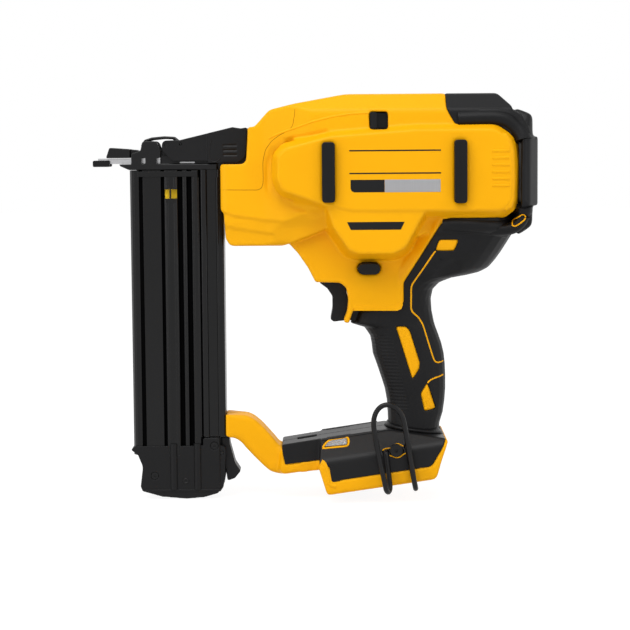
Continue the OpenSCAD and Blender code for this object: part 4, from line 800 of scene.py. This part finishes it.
for hand, side in sides:
    foot = skin_of(hand + "_foot_cover", "light_lenses")
    shell = skin_of(hand + "_housing", hand + "_foot_cover")
    bead(hand + "_lens_frame", tool, "yellow_plastic", lens_frame, side, foot,
         radius=0.75, sink=0.2, closed=True)
    rod(hand + "_foot_edge", tool, "black_plastic", side, 20.7, [(4.4, 40.46), (42.5, 45.96)],
        radius=1.5)
    rod(hand + "_lens_lintel", tool, "black_plastic", side, 18.7, [(7.5, 41.0), (23.5, 43.3)],
        radius=1.5)
    if hand == "left":
        bead("hook_slot_high", tool, "yellow_plastic", hook_slot_high, side, foot,
             radius=0.42, sink=0.1)
        bead("hook_slot_low", tool, "yellow_plastic", hook_slot_low, side, foot,
             radius=0.42, sink=0.1)
    bead(hand + "_foot_rim", tool, "yellow_plastic", foot_rim, side, shell, radius=2.2, sink=1.6)
    plate(hand + "_foot_patch", tool, "black_plastic", foot_patch, side,
          face_under(shell, side, 14.0, 20.0), proud=0.05, edge=0.05, depth=1.5)
    plate(hand + "_cheek_edge", tool, "yellow_plastic", cheek_edge, side,
          face_under(shell, side, 44.0, 134.0), proud=0.1, edge=0.1, depth=3.0)
    plate(hand + "_magazine_collar", body_of_node["magazine_cover"], "black_aluminium",
          bar(-117.4, 217.0, -77.4, 220.6), side, MAGAZINE_HALF, proud=0.3, edge=0.25, depth=3.2)
    bead(hand + "_thumb_pad", body_of_node["latch_lever"], "dark_metal", thumb_pad, side, lever,
         radius=0.35, sink=0.1)
window = copy_of("indicator_window", "indicator_window_sunk")
edited(window, sunk)
stands_for(window, "indicator_window")
board = copy_of("light_board", "light_board_trimmed")
edited(board, trimmed)
stands_for(board, "light_board")
print("edges on foot, cheek and lever; lamp board of", len(board.data.polygons), "faces")

# %% [markdown]
# ## Rubber straps and the handle's root
# A thick rubber strap follows the panel over the rear corner, above and below, and a small yellow
# loop marks the lower one. The straps are large beads that lie mostly inside what they cover, and a
# second roll behind each closes the corner between the bumper, the cap and the knob. The rubber of
# the handle runs out on to the foot in a soft hollow: a ring of rays finds the handle's wall and
# the foot's top, and five loops that bend from one to the other are bridged.

# %% Straps and handle root
strap_high = [(94.0, 253.6), (105.0, 254.0), (118.0, 254.2), (125.5, 253.0), (131.2, 249.6),
              (135.4, 244.6), (137.0, 239.5)]
strap_low = [(84.0, 184.8), (95.0, 184.2), (108.0, 183.4), (120.0, 182.8), (128.0, 183.4),
             (134.0, 186.0), (137.2, 190.6), (137.8, 195.5)]
strap_loop = [(129.6, 184.0), (129.8, 186.2), (131.6, 188.0), (135.6, 190.8), (137.4, 190.8),
              (138.2, 189.2), (137.2, 187.2), (133.0, 184.0), (130.8, 183.2)]
corner_rolls = {
    "_roll_high": [(108.0, 33.2, 257.2), (118.0, 33.2, 257.6), (127.5, 33.2, 256.6),
                   (133.0, 33.4, 253.4), (136.6, 34.6, 248.4), (137.8, 35.4, 243.0)],
    "_roll_low": [(106.0, 29.6, 181.2), (118.0, 30.6, 180.8), (125.0, 31.0, 180.9),
                  (131.0, 31.4, 182.2), (135.2, 32.4, 185.4), (137.6, 34.0, 190.5)],
}
ROLL_RADIUS = 4.2
for hand, side in sides:
    rear = skin_of("rear_cap", "top_bumper", hand + "_grip", hand + "_housing")
    bead(hand + "_strap_high", tool, "black_rubber", strap_high, side, rear,
         radius=5.6, sink=3.0, rounds=14)
    pieces[hand + "_strap_low"] = bead(hand + "_strap_low", tool, "black_rubber", strap_low, side,
                                       rear, radius=5.4, sink=3.4, rounds=10)
    for name, route in corner_rolls.items():
        path = eased([Vector((x, side * y, z)) * MM for x, y, z in route])
        roll = swept(hand + name, path, ROLL_RADIUS)
        pieces[hand + name] = settle(roll, tool, "black_rubber")
    strap = skin_of(hand + "_strap_low", hand + "_roll_low", "rear_cap", hand + "_grip")
    bead(hand + "_strap_loop", tool, "yellow_plastic", strap_loop, side, strap,
         radius=0.5, sink=0.15, closed=True, step=0.6)

FAR_OUT, HIGH_UP = 60.0, 20.0  # where the rays for the handle's wall and the foot start
REACH_STEP = 0.4  # how far a ray that misses the foot is drawn in before the next one
BITE, KNEE = 0.6, 0.5  # how deep the hollow's rims sit, and how far its bend stands off
ROOT_LOOPS = 5


def root_section(turn, middle, height, flare, rise, wall_skin, foot_skin):
    out = Vector((math.cos(turn), math.sin(turn), 0.0))
    far = Vector((middle, 0.0, height)) * MM + out * FAR_OUT * MM
    wall, _, _, _ = wall_skin.ray_cast(far, -out)
    foot, reach = None, flare
    while foot is None:
        over = wall + out * reach * MM + Vector((0.0, 0.0, HIGH_UP * MM))
        foot, _, _, _ = foot_skin.ray_cast(over, Vector((0.0, 0.0, -1.0)))
        reach -= REACH_STEP
    top = Vector((wall.x, wall.y, foot.z + rise * MM)) - out * BITE * MM
    root = foot - Vector((0.0, 0.0, BITE * MM))
    knee = Vector((top.x, top.y, root.z)) + out * KNEE * MM
    shares = [j / (ROOT_LOOPS - 1) for j in range(ROOT_LOOPS)]
    return [top * (1.0 - t) ** 2 + knee * 2.0 * t * (1.0 - t) + root * t * t for t in shares]


def handle_root(name, body, slot, steps=56, **form):
    turns = [2.0 * math.pi * (k + 0.5) / steps for k in range(steps)]
    loops = zip(*[root_section(turn, **form) for turn in turns])
    bm = bmesh.new()
    rings = []
    for loop in loops:
        verts = [bm.verts.new(spot) for spot in loop]
        rings.append([bm.edges.new(pair) for pair in zip(verts, verts[1:] + verts[:1])])
    for upper, lower in zip(rings, rings[1:] + rings[:1]):
        bmesh.ops.bridge_loops(bm, edges=upper + lower)
    bmesh.ops.recalc_face_normals(bm, faces=bm.faces)
    mesh = mesh_of(bm, name)
    mesh.shade_smooth()
    return settle(add_object(name, mesh), body, slot)


shells = ("left_housing", "right_housing")
root = handle_root("handle_root", tool, "black_rubber",
                   middle=67.0, height=53.0, flare=3.2, rise=4.2,
                   wall_skin=skin_of("left_grip", "right_grip", *shells),
                   foot_skin=skin_of("left_foot_cover", "right_foot_cover", *shells))
print("straps, loops and", root.name, len(root.data.polygons), "faces")

# %% [markdown]
# ## Return springs
# Two compression springs on the guide rods push the driver back after each shot. The imported solids
# are plain sleeves, so the springs are wound here as helices inside the same sleeves. On the tool
# they are pressed flat towards the front of the drive frame when the driver runs forward; the coils
# wound here stay at the length of the sleeves.

# %% Return springs
SPRING_RADIUS, WIRE_RADIUS, TURNS, STEPS_PER_TURN = 3.6, 0.65, 26, 20
spring_low, spring_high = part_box("return_springs")
spring_length = (spring_high[0] - spring_low[0]) / MM
drive_z = (spring_low[2] + spring_high[2]) / 2.0 / MM
guide_half = spring_high[1] / MM - SPRING_RADIUS
helix = SPRING_RADIUS - WIRE_RADIUS
steps = TURNS * STEPS_PER_TURN
coil = bmesh.new()
for hand, side in sides:
    path = []
    for k in range(steps + 1):
        turn = 2.0 * math.pi * k / STEPS_PER_TURN
        x = spring_low[0] / MM + WIRE_RADIUS + k / steps * (spring_length - 2.0 * WIRE_RADIUS)
        y = side * guide_half + helix * math.cos(turn)
        path.append(Vector((x, y, drive_z + helix * math.sin(turn))) * MM)
    one = swept(hand + "_spring", path, WIRE_RADIUS)
    coil.from_mesh(one.data)
    bpy.data.objects.remove(one)
springs = add_object("return_springs_wound", mesh_of(coil, "return_springs_wound"))
springs.data.shade_smooth()
stands_for(springs, "return_springs")
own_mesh(springs)
print("springs:", round(spring_length, 1), "mm long,", TURNS, "turns,",
      len(springs.data.polygons), "faces")

# %% [markdown]
# ## The ribbed magazine
# The magazine is a drawn extrusion: broad ribs with rounded edges stand between deep channels that
# no light reaches. The copy of the cover keeps its solid's faces, and the floors and walls of the
# channels take a second finish that is painted shade: near black, with almost no sheen. Round rods
# along the edges of the ribs catch the lamps.

# %% Magazine
CHANNEL_HALF, CHANNEL_FRONT = 10.95, -116.7  # the channels' faces lie within and behind these
UPRIGHT = 0.5  # a face whose normal has less than this along Z runs along the magazine
ROD_RADIUS, ROD_INSET = 1.35, 1.05
cover_body = body_of_node["magazine_cover"]
cover = stands_for(copy_of("magazine_cover", "magazine_cover_drawn"), "magazine_cover")
cover.data.materials.append(channel_black)
# The faces of the channels take the painted shade as their second material.
painted_shade_faces = [f for f in cover.data.polygons
                 if abs(f.center.y) < CHANNEL_HALF * MM and f.center.x > CHANNEL_FRONT * MM
                 and abs(f.normal.z) < UPRIGHT]
for face in painted_shade_faces:
    face.material_index = 1
rods = [  # place along X, half width of the face, lower and upper end
    (-97.8, 12.0, 36.4, 199.6), (-97.8, 12.0, 208.6, 216.6), (-92.9, 12.0, 36.4, 199.6),
    (-92.9, 12.0, 208.6, 216.6), (-86.4, 11.2, 36.4, 216.6), (-80.6, 11.8, 36.4, 216.6),
    (-77.6, 11.2, 42.0, 216.6),
]
for hand, side in sides:
    for k, (x, half, low_end, high_end) in enumerate(rods):
        rod("%s_rib_edge_%d" % (hand, k + 1), cover_body, "black_aluminium", side, half - ROD_INSET,
            [(x, low_end), (x, high_end)], ROD_RADIUS)
    rod(hand + "_rail_edge", body_of_node["magazine_rail"], "black_aluminium", side, 11.0,
        [(-64.5, 43.0), (-64.5, 216.6)], radius=1.1)
print("channel faces:", len(painted_shade_faces), "rods:", 2 * len(rods) + 2)

# %% [markdown]
# ## Ribs and screws of the magazine's end cap
# The moulded cap under the magazine carries on two ribs of the extrusion as thick rods, has a
# raised rim round its base and a web beside the latch, and takes a screw from either side. The rim
# and the web are extruded outlines, and each screw is a spun profile: a low head with a socket in
# its middle.

# %% End cap details
RIB_RADIUS, RIB_INSET = 2.8, 1.2


def screw_head(name, body, slot, centre, side, face, radius):
    bm = bmesh.new()
    profile = [(0.0, -0.25), (radius * 0.42, -0.25), (radius * 0.46, 0.3), (radius * 0.8, 0.42),
               (radius, 0.2), (radius, -0.6)]
    x, z = centre[0] * MM, centre[1] * MM
    line = [bm.verts.new((x + r * MM, side * (face + h) * MM, z)) for r, h in profile]
    edges = [bm.edges.new(pair) for pair in zip(line, line[1:])]
    bmesh.ops.spin(bm, geom=line + edges, cent=(x, 0.0, z), axis=(0.0, 1.0, 0.0),
                   dvec=(0.0, 0.0, 0.0), angle=2.0 * math.pi, steps=24, use_merge=True)
    bmesh.ops.remove_doubles(bm, verts=bm.verts, dist=1e-7)
    bmesh.ops.recalc_face_normals(bm, faces=bm.faces)
    mesh = mesh_of(bm, name)
    mesh.shade_smooth()
    return settle(add_object(name, mesh), body, slot)


cap_rim = [(-116.6, 5.4), (-108.0, 5.0), (-64.6, 5.0), (-63.6, 6.6), (-116.9, 6.6)]
cap_body = body_of_node["end_cap"]
cap = skin_of("end_cap")
for hand, side in sides:
    side_face = face_under(cap, side, -104.0, 20.0)
    for name, x in (("front", -95.9), ("rear", -79.9)):
        rod("%s_cap_rib_%s" % (hand, name), cap_body, "black_plastic", side, side_face - RIB_INSET,
            [(x, 6.4), (x, 37.6)], RIB_RADIUS)
    plate(hand + "_cap_rim", cap_body, "black_plastic", cap_rim, side, side_face,
          proud=0.6, edge=0.4)
    plate(hand + "_latch_web", cap_body, "black_plastic", bar(-65.6, 33.0, -63.95, 41.2), side, 6.2,
          proud=0.3, edge=0.1, depth=6.2)
    screw_head(hand + "_cap_screw", cap_body, "dark_metal", (-88.0, 12.2), side, side_face, 2.1)
    print(hand, "end cap face at", round(side_face, 2), "mm")
